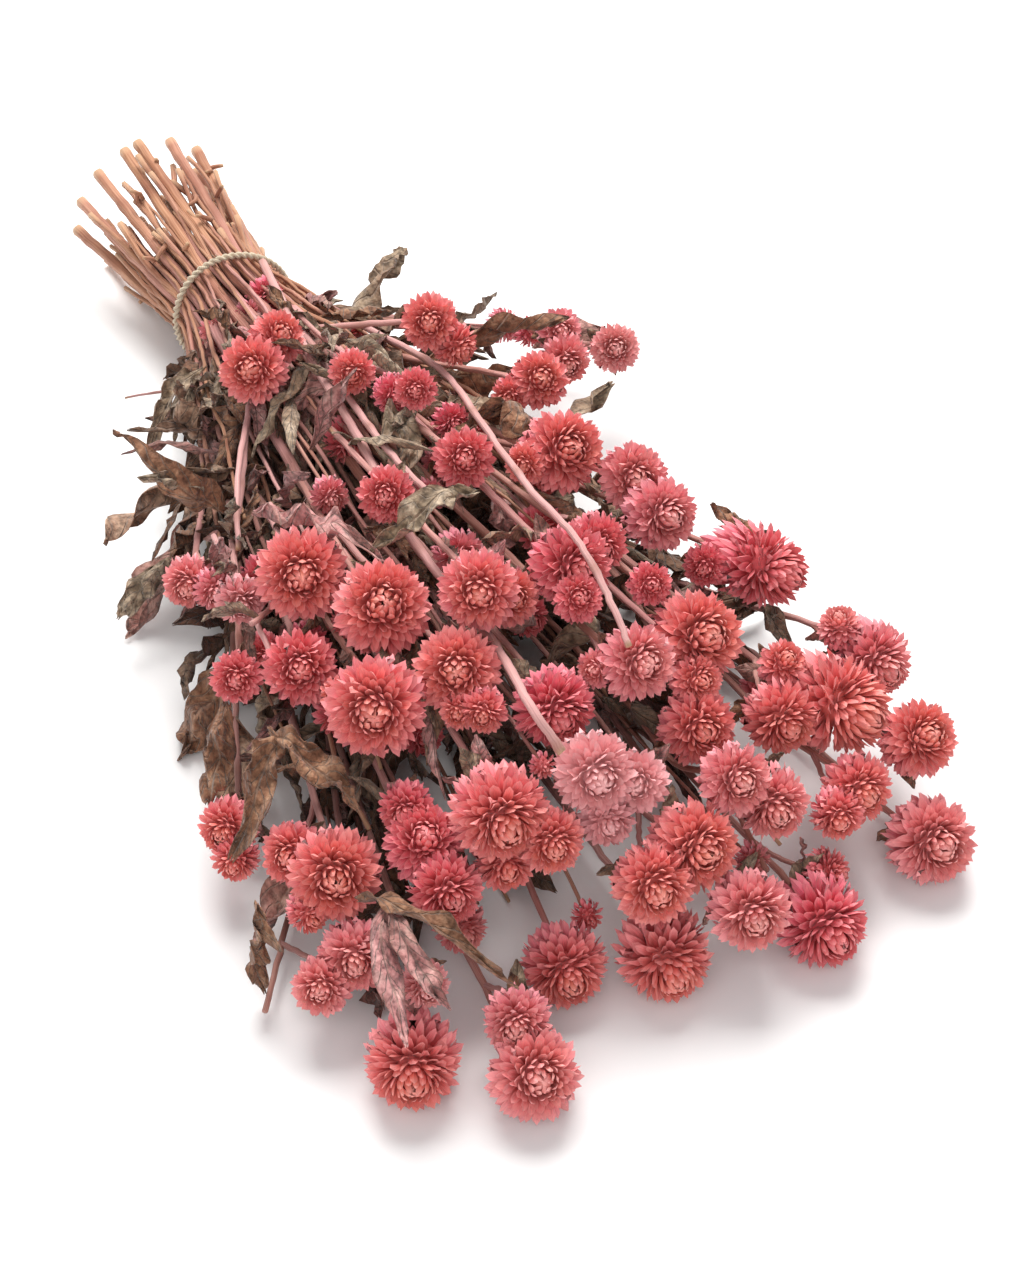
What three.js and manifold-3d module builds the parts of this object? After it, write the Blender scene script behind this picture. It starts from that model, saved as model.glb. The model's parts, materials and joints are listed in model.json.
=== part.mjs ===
// A bunch of dried globe amaranth, lying on its side and held by one loop of twisted cord.
// Millimetres, +Z up. +X runs along the bunch from the cord to the flower heads, +Y across it.
// Thirteen leafy stems pass through the cord, fork beyond it and carry the papery flower heads.
import * as THREE from "three";
import { mergeVertices } from "three/addons/utils/BufferGeometryUtils.js";
import Module from "manifold-3d";

const wasm = await Module();
wasm.setup();

// The cord loop
const CORD_RADIUS = 1.3;
const LOOP_RADIUS = 22.4;
const LOOP_HEIGHT = 23.4;

// Stems, from their cut ends to the flower heads
const STEM_RADIUS = 2.3;
const PARTNER_RADIUS = 2.0;
const BRANCH_RADIUS = 1.35;
const NECK_RADIUS = 1.1;
const CUT_REACH = [58, 92];
const ROUTE_STEP = 27;
const STEM_SIDES = 5;
const BRANCH_SIDES = 4;

// What touches keeps this gap, and a stem bent past another keeps a little more
const GAP = 0.3;
const FAT = GAP + 0.15;
const CLEARANCE = 0.55;
const LOOP_CLEARANCE = 1.4;

// Flower heads: the flat base under the bracts, and how deep the gaps between bracts go
const BASE_SHARE = 0.5;
const BRACT_DEPTH = 0.17;

// Heads keep apart, or hold each other this deep, in this many rounds of small moves
const HEAD_GAP = 0.9;
const TOUCH_DEPTH = 4.6;
const STALK_LENGTH = 24;
const FLOOR_SHARE = 0.46;
const SETTLE_ROUNDS = 160;

// Dry leaves
const LEAF_THICKNESS = 0.7;
const LEAF_LENGTH = [30, 62];
const LEAF_WIDTH = [11, 20];
const LEAF_CURL = [0.5, 2.1];
const LEAF_CEILING = 84;
const LEAF_REACH = [22, 230];
const DENSE_REACH = 130;
const DENSE_CHANCE = 0.33;
const THIN_CHANCE = 0.08;

// Starts of the seeded draws
const STEM_SEED = 1000;
const PARTNER_SEED = 2000;
const HEAD_SEED = 3000;
const LEAF_SEED = 4000;

// Each flower head is [along, across, up, width, length, turn, lift]: roughly where its middle is,
// its size, and which way its tip points, in degrees round from +X and up from level. Heads listed
// together touch and are one body, a main head with smaller ones against it. They are settled later.
// The last group of a stem is carried by the stem itself, the others by its side branches.
const STEMS = [
  {
    slot: -12,
    groups: [
      { colour: "rose", heads: [[90, 87, 42, 15, 15, -10, 30], [100, 84, 38, 16, 19, -15, 5]] },
      { colour: "dusty", heads: [[97, 106, 32, 16.5, 16, -20, 35]] },
    ],
    twigs: [],
  },
  {
    slot: 14,
    groups: [
      { colour: "crimson", heads: [[237, 74, 55, 23.5, 35, 25, 5], [232, 60, 56, 13, 13, -40, 20]] },
      { colour: "coral", heads: [[313, 64, 31, 19.5, 19.5, -5, 15], [318, 54, 30, 15, 15, -20, 5]] },
      {
        colour: "coral",
        heads: [
          [287, 70, 41, 27.5, 39, 20, 10],
          [288, 52, 44, 21, 21, -5, 5],
          [276, 60, 51, 14, 14, 10, 65],
        ],
      },
    ],
    twigs: [[322, 28, 22]],
  },
  {
    slot: 40,
    groups: [
      { colour: "coral", heads: [[136, 54, 64, 18, 18, -15, 40], [134, 44, 60, 12, 12, -40, 10]] },
      { colour: "rose", heads: [[200, 52, 71, 20, 20, -15, 30], [216, 52, 68, 21, 24, 0, 25]] },
      {
        colour: "coral",
        heads: [
          [262, 37, 61, 26, 28.5, 10, 40],
          [275, 30, 58, 14.5, 14.5, 5, 35],
          [283, 26, 48, 21.5, 21.5, -5, 25],
        ],
      },
    ],
    twigs: [],
  },
  {
    slot: 65,
    groups: [
      { colour: "coral", heads: [[104, 30, 75, 18, 18, -25, 30], [110, 36, 68, 14, 14, 15, -15]] },
      {
        colour: "coral",
        heads: [
          [184, 35, 76, 24, 26.5, 5, 40],
          [186, 22, 78, 12.5, 12.5, -45, 20],
        ],
      },
      { colour: "crimson", heads: [[246, 31, 72, 12.5, 12.5, -10, 35]] },
      {
        colour: "crimson",
        heads: [
          [232, 11, 77, 23, 23, 0, 20],
          [226, 24, 76, 17.5, 19, -10, 10],
          [245, 7, 76, 14, 14, -10, 45],
        ],
      },
    ],
    twigs: [],
  },
  {
    slot: 91,
    groups: [
      { colour: "coral", heads: [[111, -2, 71, 14.5, 14.5, -25, 15]] },
      { colour: "crimson", heads: [[136, 9, 77, 13, 13, -30, 25]] },
      { colour: "crimson", heads: [[175, 6, 78, 18, 18, -20, 35]] },
      { colour: "rose", heads: [[269, 13, 68, 21, 21, 5, 35], [264, 2, 66, 11, 11, -50, 30]] },
    ],
    twigs: [],
  },
  {
    slot: 117,
    groups: [
      { colour: "crimson", heads: [[178, -22, 77, 16.5, 16.5, -30, 30]] },
      { colour: "coral", heads: [[233, -19, 81, 22, 22, -25, 30], [231, -8, 72, 16.5, 16.5, 5, 30]] },
      { colour: "crimson", heads: [[269, -14, 63, 22, 22, -10, 5]] },
      {
        colour: "rose",
        heads: [
          [293, -14, 58, 22.5, 22.5, -15, 25],
          [297, -2, 52, 17, 17, -40, 30],
          [300, -14, 46, 15.5, 15.5, -15, 10],
        ],
      },
    ],
    twigs: [],
  },
  {
    slot: 142,
    groups: [
      {
        colour: "coral",
        heads: [
          [83, -25, 61, 21.5, 21.5, -35, 35],
          [74, -12, 64, 17.5, 17.5, 15, 50],
        ],
      },
      { colour: "coral", heads: [[215, -42, 69, 26.5, 28, -15, 50]] },
      {
        colour: "coral",
        heads: [
          [246, -33, 66, 23.5, 23.5, -30, 40],
          [257, -38, 62, 11, 11, -35, 20],
          [262, -32, 64, 13, 13, -35, 10],
        ],
      },
      {
        colour: "coral",
        heads: [
          [290, -43, 54, 26, 26, -10, 5],
          [300, -32, 46, 18, 18, -15, 15],
          [295, -44, 39, 17, 17, -15, 5],
        ],
      },
    ],
    twigs: [],
  },
  {
    slot: 168,
    groups: [
      { colour: "coral", heads: [[186, -55, 65, 26, 26, -20, 35]] },
      { colour: "crimson", heads: [[212, -68, 54, 21, 21, -20, 35]] },
      {
        colour: "coral",
        heads: [
          [246, -59, 64, 27, 28.5, -30, 30],
          [233, -65, 60, 10.5, 10.5, -60, 25],
        ],
      },
      {
        colour: "crimson",
        heads: [
          [281, -62, 41, 21.5, 21.5, -15, 65],
          [296, -63, 38, 19.5, 19.5, -5, 10],
          [270, -62, 46, 15, 15, -35, 15],
        ],
      },
    ],
    twigs: [[196, -76, 62]],
  },
  {
    slot: 194,
    groups: [
      { colour: "rose", heads: [[146, -77, 39, 16, 16, -30, 10], [155, -72, 41, 13, 13, -5, 5]] },
      { colour: "dusty", heads: [[177, -72, 55, 14.5, 14.5, -15, 0]] },
      { colour: "crimson", heads: [[201, -84, 48, 15, 15, -25, 30]] },
      {
        colour: "coral",
        heads: [
          [231, -102, 21, 16.5, 16.5, -45, 10],
          [240, -104, 17, 13.5, 13.5, -35, 0],
        ],
      },
      {
        colour: "coral",
        heads: [
          [274, -87, 35, 25, 25, -20, 30],
          [259, -93, 32, 17.5, 17.5, -40, 30],
          [278, -98, 29, 11, 13, 5, 0],
        ],
      },
    ],
    twigs: [],
  },
  {
    slot: 220,
    groups: [
      { colour: "rose", heads: [[294, -91, 23, 19, 19, -20, 20], [296, -102, 18, 16, 16, -35, 30]] },
      { colour: "dusty", heads: [[316, -80, 28, 13, 13, -10, 10]] },
      { colour: "coral", heads: [[326, -89, 11.5, 25, 27, -25, 5]] },
      { colour: "rose", heads: [[346, -62, 11, 24, 24, -10, 40], [333, -60, 19, 18, 18, -30, 20]] },
    ],
    twigs: [[288, -117, 6]],
  },
  {
    slot: 245,
    groups: [
      { colour: "coral", heads: [[316, -36, 10.8, 23.5, 23.5, -10, 0]] },
      { colour: "coral", heads: [[315, 6, 38, 24.5, 24.5, 5, 25], [320, -10, 36, 22, 22, -15, 20]] },
      { colour: "coral", heads: [[326, -9, 11.6, 25, 29, -10, -5]] },
    ],
    twigs: [],
  },
  {
    slot: 297,
    groups: [
      { colour: "rose", heads: [[307, 24, 49, 19.5, 20.5, -5, 30], [312, 34, 40, 20, 23, -15, 10]] },
      { colour: "rose", heads: [[334, 14, 26, 22, 22, -15, 15]] },
      {
        colour: "crimson",
        heads: [
          [337, 37, 11.6, 25, 28.5, 0, 0],
          [326, 46, 16, 13.5, 13.5, 40, 10],
        ],
      },
    ],
    twigs: [],
  },
  {
    slot: 322,
    groups: [
      { colour: "rose", heads: [[273, 95, 36, 22, 26.5, 5, 0], [266, 88, 45, 13, 13, -140, 80]] },
      { colour: "coral", heads: [[304, 92, 29, 21.5, 24, 5, 50]] },
      { colour: "rose", heads: [[327, 83, 11.4, 24.5, 27, -5, 30]] },
    ],
    twigs: [],
  },
];

// Partner stems have cut ends of their own and grow together with a stem beyond the cord:
// [angle round the cord, distance from its middle, stem joined, where along it]
const PARTNERS = [
  [271, 16.8, 10, 75],
  [0, 10.6, 1, 70],
  [40, 10.6, 2, 95],
  [80, 10.6, 4, 80],
  [120, 10.6, 5, 110],
  [160, 10.6, 7, 70],
  [200, 10.6, 8, 90],
  [240, 10.6, 9, 100],
  [280, 10.6, 11, 120],
  [320, 10.6, 12, 80],
  [45, 3.8, 3, 60],
  [165, 3.8, 6, 65],
  [285, 3.8, 11, 60],
];

// Big leaves: [stem, its route, how far along, turn, lift, length, width, curl]
const BIG_LEAVES = [
  [8, 1, 97, -65, -27, 50, 17, 0.5],
  [8, 4, 153, -57, -12, 38, 19, 0.7],
  [8, 4, 177, -40, -4, 42, 18, 0.6],
  [8, 0, 53, -66, 22, 46, 13, -0.8],
  [9, 1, 235, -50, 6, 52, 14, 0.7],
  [2, 0, 56, 54, 27, 60, 15, 0.9],
  [1, 0, 81, 84, 26, 52, 17, 0.9],
  [4, 1, 79, 48, 14, 34, 15, 0.9],
  [4, 2, 105, -30, 10, 38, 16, 1.1],
  [12, 1, 184, 62, 44, 44, 15, 1.0],
  [9, 2, 259, -64, 36, 50, 14, 0.9],
  [7, 0, 250, 14, 34, 54, 12, 0.8],
];

const COLOURS = {
  coral: "#d9736b",
  rose: "#cf6f83",
  crimson: "#b84a57",
  dusty: "#c98b98",
  stem: "#a9756b",
  cord: "#d8c6a8",
};

// The same draws on every run
function seeded(seed) {
  let state = seed;
  return () => {
    state = (state * 1664525 + 1013904223) % 4294967296;
    return state / 4294967296;
  };
}

function between(draw, range) {
  return range[0] + (range[1] - range[0]) * draw();
}

function pointing(turn, lift) {
  const level = Math.cos(THREE.MathUtils.degToRad(lift));
  return new THREE.Vector3(
    level * Math.cos(THREE.MathUtils.degToRad(turn)),
    level * Math.sin(THREE.MathUtils.degToRad(turn)),
    Math.sin(THREE.MathUtils.degToRad(lift)),
  );
}

// Closed meshes and solids
function closedMesh(points, faces) {
  const geometry = new THREE.BufferGeometry();
  geometry.setAttribute("position", new THREE.Float32BufferAttribute(points.flatMap((p) => p.toArray()), 3));
  geometry.setIndex(faces.flat());
  return geometry;
}

function toSolid(geometry) {
  const bare = geometry.clone();
  bare.deleteAttribute("normal");
  bare.deleteAttribute("uv");
  const merged = mergeVertices(bare, 1e-5);
  const vertProperties = new Float32Array(merged.attributes.position.array);
  const triVerts = new Uint32Array(merged.index.array);
  return new wasm.Manifold(new wasm.Mesh({ numProp: 3, vertProperties, triVerts }));
}

function toGeometry(solid) {
  const mesh = solid.getMesh();
  const geometry = new THREE.BufferGeometry();
  geometry.setAttribute("position", new THREE.Float32BufferAttribute(mesh.vertProperties, 3));
  geometry.setIndex(Array.from(mesh.triVerts));
  geometry.computeVertexNormals();
  return geometry;
}

// A body wound of rings of points, each end closed by a flat fan. A blade has rings of four points, and
// its upper side is split along the same diagonals as its lower one, so that they can't cross.
const UPPER_SIDE = 2;

function loft(rings, isBlade = false) {
  const count = rings[0].length;
  const points = rings.flat();
  const faces = [];
  for (let k = 0; k < rings.length - 1; k++) {
    for (let i = 0; i < count; i++) {
      const j = (i + 1) % count;
      const low = k * count;
      const high = low + count;
      if (isBlade && i === UPPER_SIDE) {
        faces.push([low + i, low + j, high + i], [low + j, high + j, high + i]);
      } else {
        faces.push([low + i, low + j, high + j], [low + i, high + j, high + i]);
      }
    }
  }
  const last = (rings.length - 1) * count;
  for (let i = 1; i < count - 1; i++) {
    faces.push([0, i + 1, i], [last, last + i, last + i + 1]);
  }
  return closedMesh(points, faces);
}

// A round stem along a route, with its end face square to the way it arrives
function tube(route, radii, sides, arriving) {
  const rings = [];
  let across = new THREE.Vector3(0, 0, 1);
  route.forEach((point, i) => {
    const before = route[Math.max(i - 1, 0)];
    const after = route[Math.min(i + 1, route.length - 1)];
    const atEnd = arriving && i === route.length - 1;
    const ahead = atEnd ? arriving.clone() : after.clone().sub(before).normalize();
    across = across.clone().addScaledVector(ahead, -across.dot(ahead)).normalize();
    const aside = ahead.clone().cross(across);
    const ring = [];
    for (let s = 0; s < sides; s++) {
      const angle = (2 * Math.PI * s) / sides;
      ring.push(
        point.clone()
          .addScaledVector(across, radii[i] * Math.cos(angle))
          .addScaledVector(aside, radii[i] * Math.sin(angle)),
      );
    }
    rings.push(ring);
  });
  return loft(rings);
}

// Flower heads
// A head is a ball of pointed bracts in rings, each ring half a step round from the last. Every bract
// is a small pyramid whose point leans towards the head's tip. The base is flat, where the stem meets it.
function bractRings(width) {
  if (width >= 26) return [8, 4];
  if (width >= 22) return [7, 4];
  if (width >= 18) return [6, 4];
  if (width >= 15) return [6, 3];
  return [5, 3];
}

function flowerHead(width, length, spin) {
  const [perRing, ringCount] = bractRings(width);
  const slots = perRing * 2;
  const start = -Math.acos(BASE_SHARE);
  const step = (THREE.MathUtils.degToRad(74) - start) / ringCount;
  const points = [];
  const faces = [];
  const onBall = (angle, latitude, share) => {
    const out = (width / 2) * share * Math.cos(latitude);
    const up = (length / 2) * share * Math.sin(latitude);
    return new THREE.Vector3(out * Math.cos(angle), out * Math.sin(angle), up);
  };
  for (let i = 0; i < perRing; i++) {
    points.push(onBall(spin + (2 * Math.PI * i) / perRing, start, 1));
  }
  for (let i = 1; i < perRing - 1; i++) faces.push([0, i + 1, i]);
  for (let k = 1; k <= ringCount; k++) {
    for (let i = 0; i < slots; i++) {
      const angle = spin + (2 * Math.PI * i) / slots;
      const isTip = (i + k) % 2 === 0;
      const latitude = start + step * (isTip ? k - 0.1 : k - 0.55);
      points.push(onBall(angle, Math.min(latitude, Math.PI / 2 - 0.12), isTip ? 1 : 1 - BRACT_DEPTH));
    }
  }
  const ring = (k, i) => perRing + (k - 1) * slots + ((i + slots) % slots);
  for (let i = 0; i < perRing; i++) {
    const next = (i + 1) % perRing;
    faces.push([i, ring(1, 2 * i + 1), ring(1, 2 * i)]);
    faces.push([i, next, ring(1, 2 * i + 1)]);
    faces.push([next, ring(1, 2 * i + 2), ring(1, 2 * i + 1)]);
  }
  for (let k = 1; k < ringCount; k++) {
    for (let i = 0; i < slots; i++) {
      const corner = [ring(k, i), ring(k, i + 1), ring(k + 1, i + 1), ring(k + 1, i)];
      if ((i + k) % 2 === 0) {
        faces.push([corner[0], corner[1], corner[3]], [corner[1], corner[2], corner[3]]);
      } else {
        faces.push([corner[0], corner[1], corner[2]], [corner[0], corner[2], corner[3]]);
      }
    }
  }
  const tip = points.length;
  points.push(new THREE.Vector3(0, 0, (length / 2) * 0.92));
  for (let i = 0; i < slots; i++) faces.push([ring(ringCount, i), ring(ringCount, i + 1), tip]);
  return closedMesh(points, faces);
}

function readHead(row, group) {
  const [along, across, up, width, length, turn, lift] = row;
  const middle = new THREE.Vector3(along, across, up);
  const axis = pointing(turn, lift);
  const baseDistance = (length / 2) * Math.sqrt(1 - BASE_SHARE * BASE_SHARE);
  const base = middle.clone().addScaledVector(axis, -baseDistance);
  const stretch = Math.max(0, (length - width) / 2);
  return {
    group,
    middle,
    axis,
    base,
    width,
    length,
    low: middle.clone().addScaledVector(axis, -stretch),
    high: middle.clone().addScaledVector(axis, stretch),
  };
}

function placedHead(head, spin) {
  const geometry = flowerHead(head.width, head.length, spin);
  const turn = new THREE.Quaternion().setFromUnitVectors(new THREE.Vector3(0, 0, 1), head.axis);
  geometry.applyQuaternion(turn);
  geometry.translate(head.middle.x, head.middle.y, head.middle.z);
  return toSolid(geometry);
}

// The floor cuts a small flat spot where a bract, leaf or stem rests on it, and loose scraps are dropped
function restOnFloor(solid) {
  const parts = solid.trimByPlane([0, 0, 1], 0).decompose();
  return parts.reduce((a, b) => (b.volume() > a.volume() ? b : a));
}

// Heads crowd each other. Those of different bodies are moved clear, and a smaller head is kept in touch
// with the head it grows against, and off that head's stalk.
function settleHeads(groups) {
  const heads = groups.flat();
  const move = (head, by, share) => {
    [head.middle, head.base, head.low, head.high].forEach((point) => point.addScaledVector(by, share));
  };
  for (let round = 0; round < SETTLE_ROUNDS; round++) {
    heads.forEach((one, i) => {
      heads.slice(i + 1).forEach((other) => {
        if (one.group === other.group) return;
        const { way } = nearest(one.low, one.high, other.low, other.high);
        const lack = (one.width + other.width) / 2 + HEAD_GAP - way.length();
        if (lack <= 0) return;
        way.setLength(lack);
        move(one, way, -0.5);
        move(other, way, 0.5);
      });
    });
    groups.forEach(([main, ...others]) => {
      const stalkEnd = main.base.clone().addScaledVector(main.axis, -STALK_LENGTH);
      others.forEach((head, i) => {
        const holder = [main, ...others.slice(0, i)].reduce((a, b) => (
          reachOver(head, b) < reachOver(head, a) ? b : a
        ));
        const { way } = nearest(head.low, head.high, holder.low, holder.high);
        const spare = way.length() - (head.width + holder.width) / 2 + TOUCH_DEPTH;
        if (spare > 0) move(head, way.setLength(spare), 1);
        const off = nearest(main.base, stalkEnd, head.low, head.high).way;
        const lack = head.width / 2 + NECK_RADIUS + CLEARANCE - off.length();
        if (lack > 0) move(head, off.setLength(lack), 0.5);
      });
    });
    heads.forEach((head) => {
      const sunk = head.width * FLOOR_SHARE - head.middle.z;
      if (sunk > 0) move(head, new THREE.Vector3(0, 0, sunk), 1);
    });
  }
}

function reachOver(head, holder) {
  return head.middle.distanceTo(holder.middle) - holder.width / 2;
}

// Heads that grow against each other are joined
function headGroup(heads, draw) {
  const solids = heads.map((head) => placedHead(head, draw() * Math.PI));
  return restOnFloor(solids.reduce((joined, solid) => joined.add(solid)));
}

// Stem routes
// A route is a list of points, with the stem's radius at each. It starts as a smooth curve.
function smoothRoute(from, leaving, to, arriving) {
  const reach = from.distanceTo(to);
  const curve = new THREE.CubicBezierCurve3(
    from,
    from.clone().addScaledVector(leaving, reach * 0.38),
    to.clone().addScaledVector(arriving, -reach * 0.3),
    to,
  );
  return curve.getSpacedPoints(Math.max(2, Math.round(reach / ROUTE_STEP)));
}

function inLoop(angle, distance) {
  const turn = THREE.MathUtils.degToRad(angle);
  return new THREE.Vector3(0, distance * Math.cos(turn), LOOP_HEIGHT + distance * Math.sin(turn));
}

// Cut ends spread a little behind the cord
function cutEnd(hole, draw) {
  const reach = between(draw, CUT_REACH);
  const spread = 1.25 + 0.45 * draw();
  const across = hole.y * spread + (draw() - 0.5) * 8;
  const up = LOOP_HEIGHT + (hole.z - LOOP_HEIGHT) * spread + (draw() - 0.5) * 6;
  return new THREE.Vector3(-reach, across, Math.max(up, STEM_RADIUS + 1));
}

function behindCord(hole, draw) {
  const end = cutEnd(hole, draw);
  const steps = Math.round(-end.x / ROUTE_STEP);
  const points = [];
  for (let i = 0; i < steps; i++) points.push(end.clone().lerp(hole, i / steps));
  return points;
}

// Straight on from the hole in the cord, fanning out as the whole bunch does
function fanDirection(hole) {
  return new THREE.Vector3(1, hole.y * 0.022, Math.max(0, hole.z - LOOP_HEIGHT) * 0.016 + 0.03).normalize();
}

function planStem(stem, index) {
  const draw = seeded(STEM_SEED + index);
  const { groups } = stem;
  const hole = inLoop(stem.slot, LOOP_RADIUS - CORD_RADIUS - STEM_RADIUS - LOOP_CLEARANCE);
  const leader = groups[groups.length - 1].heads[0];
  const arriveAt = (head) => head.base.clone().addScaledVector(head.axis, -GAP);
  const tail = behindCord(hole, draw);
  const points = [...tail, ...smoothRoute(hole, fanDirection(hole), arriveAt(leader), leader.axis)];
  const main = {
    stem: index,
    points,
    held: new Set([0, tail.length, points.length - 1]),
    radii: points.map((_, i) => {
      const along = Math.max(0, i - tail.length) / (points.length - 1 - tail.length);
      return THREE.MathUtils.lerp(STEM_RADIUS, NECK_RADIUS, along ** 1.4);
    }),
    ownHead: leader,
    holeAt: tail.length,
  };
  const routes = [main];
  const branchFrom = (target, arriving, share, radius) => {
    const beyond = points.slice(tail.length + 1, points.length - 2);
    const reach = Math.abs(target.x) * share;
    const fork = beyond.reduce((a, b) => (Math.abs(b.x - reach) < Math.abs(a.x - reach) ? b : a));
    const at = points.indexOf(fork);
    const leaving = points[at + 1].clone().sub(points[at - 1]).normalize();
    const out = smoothRoute(fork, leaving, target, arriving);
    return {
      stem: index,
      points: out,
      held: new Set([0, out.length - 1]),
      radii: out.map((_, i) => THREE.MathUtils.lerp(BRANCH_RADIUS, radius, i / (out.length - 1))),
      grownFrom: { route: main, at },
    };
  };
  groups.slice(0, -1).forEach((group) => {
    const head = group.heads[0];
    const branch = branchFrom(arriveAt(head), head.axis, 0.35 + 0.25 * draw(), NECK_RADIUS);
    routes.push({ ...branch, ownHead: head });
  });
  stem.twigs.forEach((end) => {
    const target = new THREE.Vector3(...end);
    routes.push(branchFrom(target, target.clone().sub(hole).normalize(), 0.6, NECK_RADIUS * 0.9));
  });
  return { groups, routes };
}

// A partner has its own cut end and hole, and joins its stem beyond the cord
function planPartner([angle, distance, stemIndex, joinReach], plans, index) {
  const draw = seeded(PARTNER_SEED + index);
  const hole = inLoop(angle, distance);
  const main = plans[stemIndex].routes[0];
  const beyond = main.points.slice(main.holeAt + 2, main.points.length - 2);
  const join = beyond.reduce((a, b) => (Math.abs(b.x - joinReach) < Math.abs(a.x - joinReach) ? b : a));
  const at = main.points.indexOf(join);
  const arriving = main.points[at + 1].clone().sub(main.points[at - 1]).normalize();
  const tail = behindCord(hole, draw);
  const points = [...tail, ...smoothRoute(hole, fanDirection(hole), join, arriving)];
  return {
    stem: stemIndex,
    points,
    held: new Set([0, tail.length, points.length - 1]),
    radii: points.map((_, i) => (i <= tail.length ? PARTNER_RADIUS : PARTNER_RADIUS * 0.85)),
    joins: { route: main, at },
    holeAt: tail.length,
  };
}

// The nearest points of two straight pieces, as shares of each and the way from the first to the second
function nearest(a0, a1, b0, b1) {
  const u = a1.clone().sub(a0);
  const v = b1.clone().sub(b0);
  const w = a0.clone().sub(b0);
  const uu = Math.max(u.dot(u), 1e-9);
  const vv = Math.max(v.dot(v), 1e-9);
  const uv = u.dot(v);
  const uw = u.dot(w);
  const vw = v.dot(w);
  const slant = uu * vv - uv * uv;
  const clamp = (value) => Math.min(1, Math.max(0, value));
  let s = slant > 1e-6 ? clamp((uv * vw - vv * uw) / slant) : 0.5;
  let t = clamp((uv * s + vw) / vv);
  s = clamp((uv * t - uw) / uu);
  t = clamp((uv * s + vw) / vv);
  const way = b0.clone().addScaledVector(v, t).sub(a0.clone().addScaledVector(u, s));
  return { s, t, way };
}

// Every route is bent clear of the other stems, the flower heads and the floor, a little at a time
const BEND_ROUNDS = 240;
const LAST_ROUNDS = 60;
const BEND_EASING = 0.12;
const LONGEST_MOVE = 2;
const LOOK_WITHIN = 45;

function bendClear(routes, heads) {
  const pieces = [];
  routes.forEach((route) => {
    for (let i = 0; i < route.points.length - 1; i++) pieces.push({ route, i });
  });
  const moves = new Map();
  const push = (route, i, by) => {
    if (!route.held.has(i)) moves.get(route)[i].add(by);
  };
  for (let round = 0; round < BEND_ROUNDS; round++) {
    const easing = round < BEND_ROUNDS - LAST_ROUNDS ? BEND_EASING : 0;
    routes.forEach((route) => moves.set(route, route.points.map(() => new THREE.Vector3())));
    for (let m = 0; m < pieces.length; m++) {
      const { route, i } = pieces[m];
      const a0 = route.points[i];
      const a1 = route.points[i + 1];
      const radius = Math.max(route.radii[i], route.radii[i + 1]);
      for (let n = m + 1; n < pieces.length; n++) {
        const other = pieces[n];
        if (other.route.stem === route.stem) continue;
        const b0 = other.route.points[other.i];
        if (Math.abs(a0.x - b0.x) > LOOK_WITHIN || Math.abs(a0.y - b0.y) > LOOK_WITHIN) continue;
        const b1 = other.route.points[other.i + 1];
        const otherRadius = Math.max(other.route.radii[other.i], other.route.radii[other.i + 1]);
        const need = radius + otherRadius + CLEARANCE;
        const { s, t, way } = nearest(a0, a1, b0, b1);
        const gap = way.length();
        if (gap >= need) continue;
        const by = gap > 1e-6 ? way.multiplyScalar((need - gap) / gap) : new THREE.Vector3(0, 0, need);
        push(route, i, by.clone().multiplyScalar(-0.5 * (1 - s)));
        push(route, i + 1, by.clone().multiplyScalar(-0.5 * s));
        push(other.route, other.i, by.clone().multiplyScalar(0.5 * (1 - t)));
        push(other.route, other.i + 1, by.clone().multiplyScalar(0.5 * t));
      }
      for (const head of heads) {
        if (head === route.ownHead) continue;
        if (Math.abs(a0.x - head.middle.x) > LOOK_WITHIN) continue;
        const need = radius + head.width / 2 + CLEARANCE;
        const { s, way } = nearest(a0, a1, head.low, head.high);
        const gap = way.length();
        if (gap >= need) continue;
        const by = way.multiplyScalar(-(need - gap) / Math.max(gap, 1e-6));
        push(route, i, by.clone().multiplyScalar(0.8 * (1 - s)));
        push(route, i + 1, by.clone().multiplyScalar(0.8 * s));
      }
    }
    routes.forEach((route) => {
      const { points, held, radii } = route;
      const step = moves.get(route);
      const bend = points.map((point, i) => {
        if (held.has(i)) return null;
        return points[i - 1].clone().add(points[i + 1]).multiplyScalar(0.5).sub(point);
      });
      points.forEach((point, i) => {
        if (held.has(i)) return;
        point.add(step[i].clampLength(0, LONGEST_MOVE)).addScaledVector(bend[i], easing);
        point.z = Math.max(point.z, radii[i] + CLEARANCE);
      });
    });
    routes.forEach((route) => {
      if (route.grownFrom) route.points[0].copy(route.grownFrom.route.points[route.grownFrom.at]);
      if (route.joins) route.points[route.points.length - 1].copy(route.joins.route.points[route.joins.at]);
    });
  }
}

// Dry leaves
// A leaf grows out of its stem, away from what stands near it, and curls over as it goes. Its edges
// wave, and it is folded a little along its rib. The same draws give the same leaf.
const LEAF_OUTLINE = [0, 0.85, 1, 0.7, 0.12];
const LEAF_STATIONS = LEAF_OUTLINE.length;
const STALK_HALF = 0.8;

function clearWay(root, obstacles) {
  const way = new THREE.Vector3();
  obstacles.forEach((point) => {
    const apart = root.clone().sub(point);
    const gap = apart.length();
    if (gap > 1 && gap < 45) way.addScaledVector(apart, 1 / gap ** 3);
  });
  return way.normalize();
}

function leafRoot(route, at) {
  return {
    root: route.points[at].clone().lerp(route.points[at + 1], 0.45),
    along: route.points[at + 1].clone().sub(route.points[at]).normalize(),
  };
}

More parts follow.
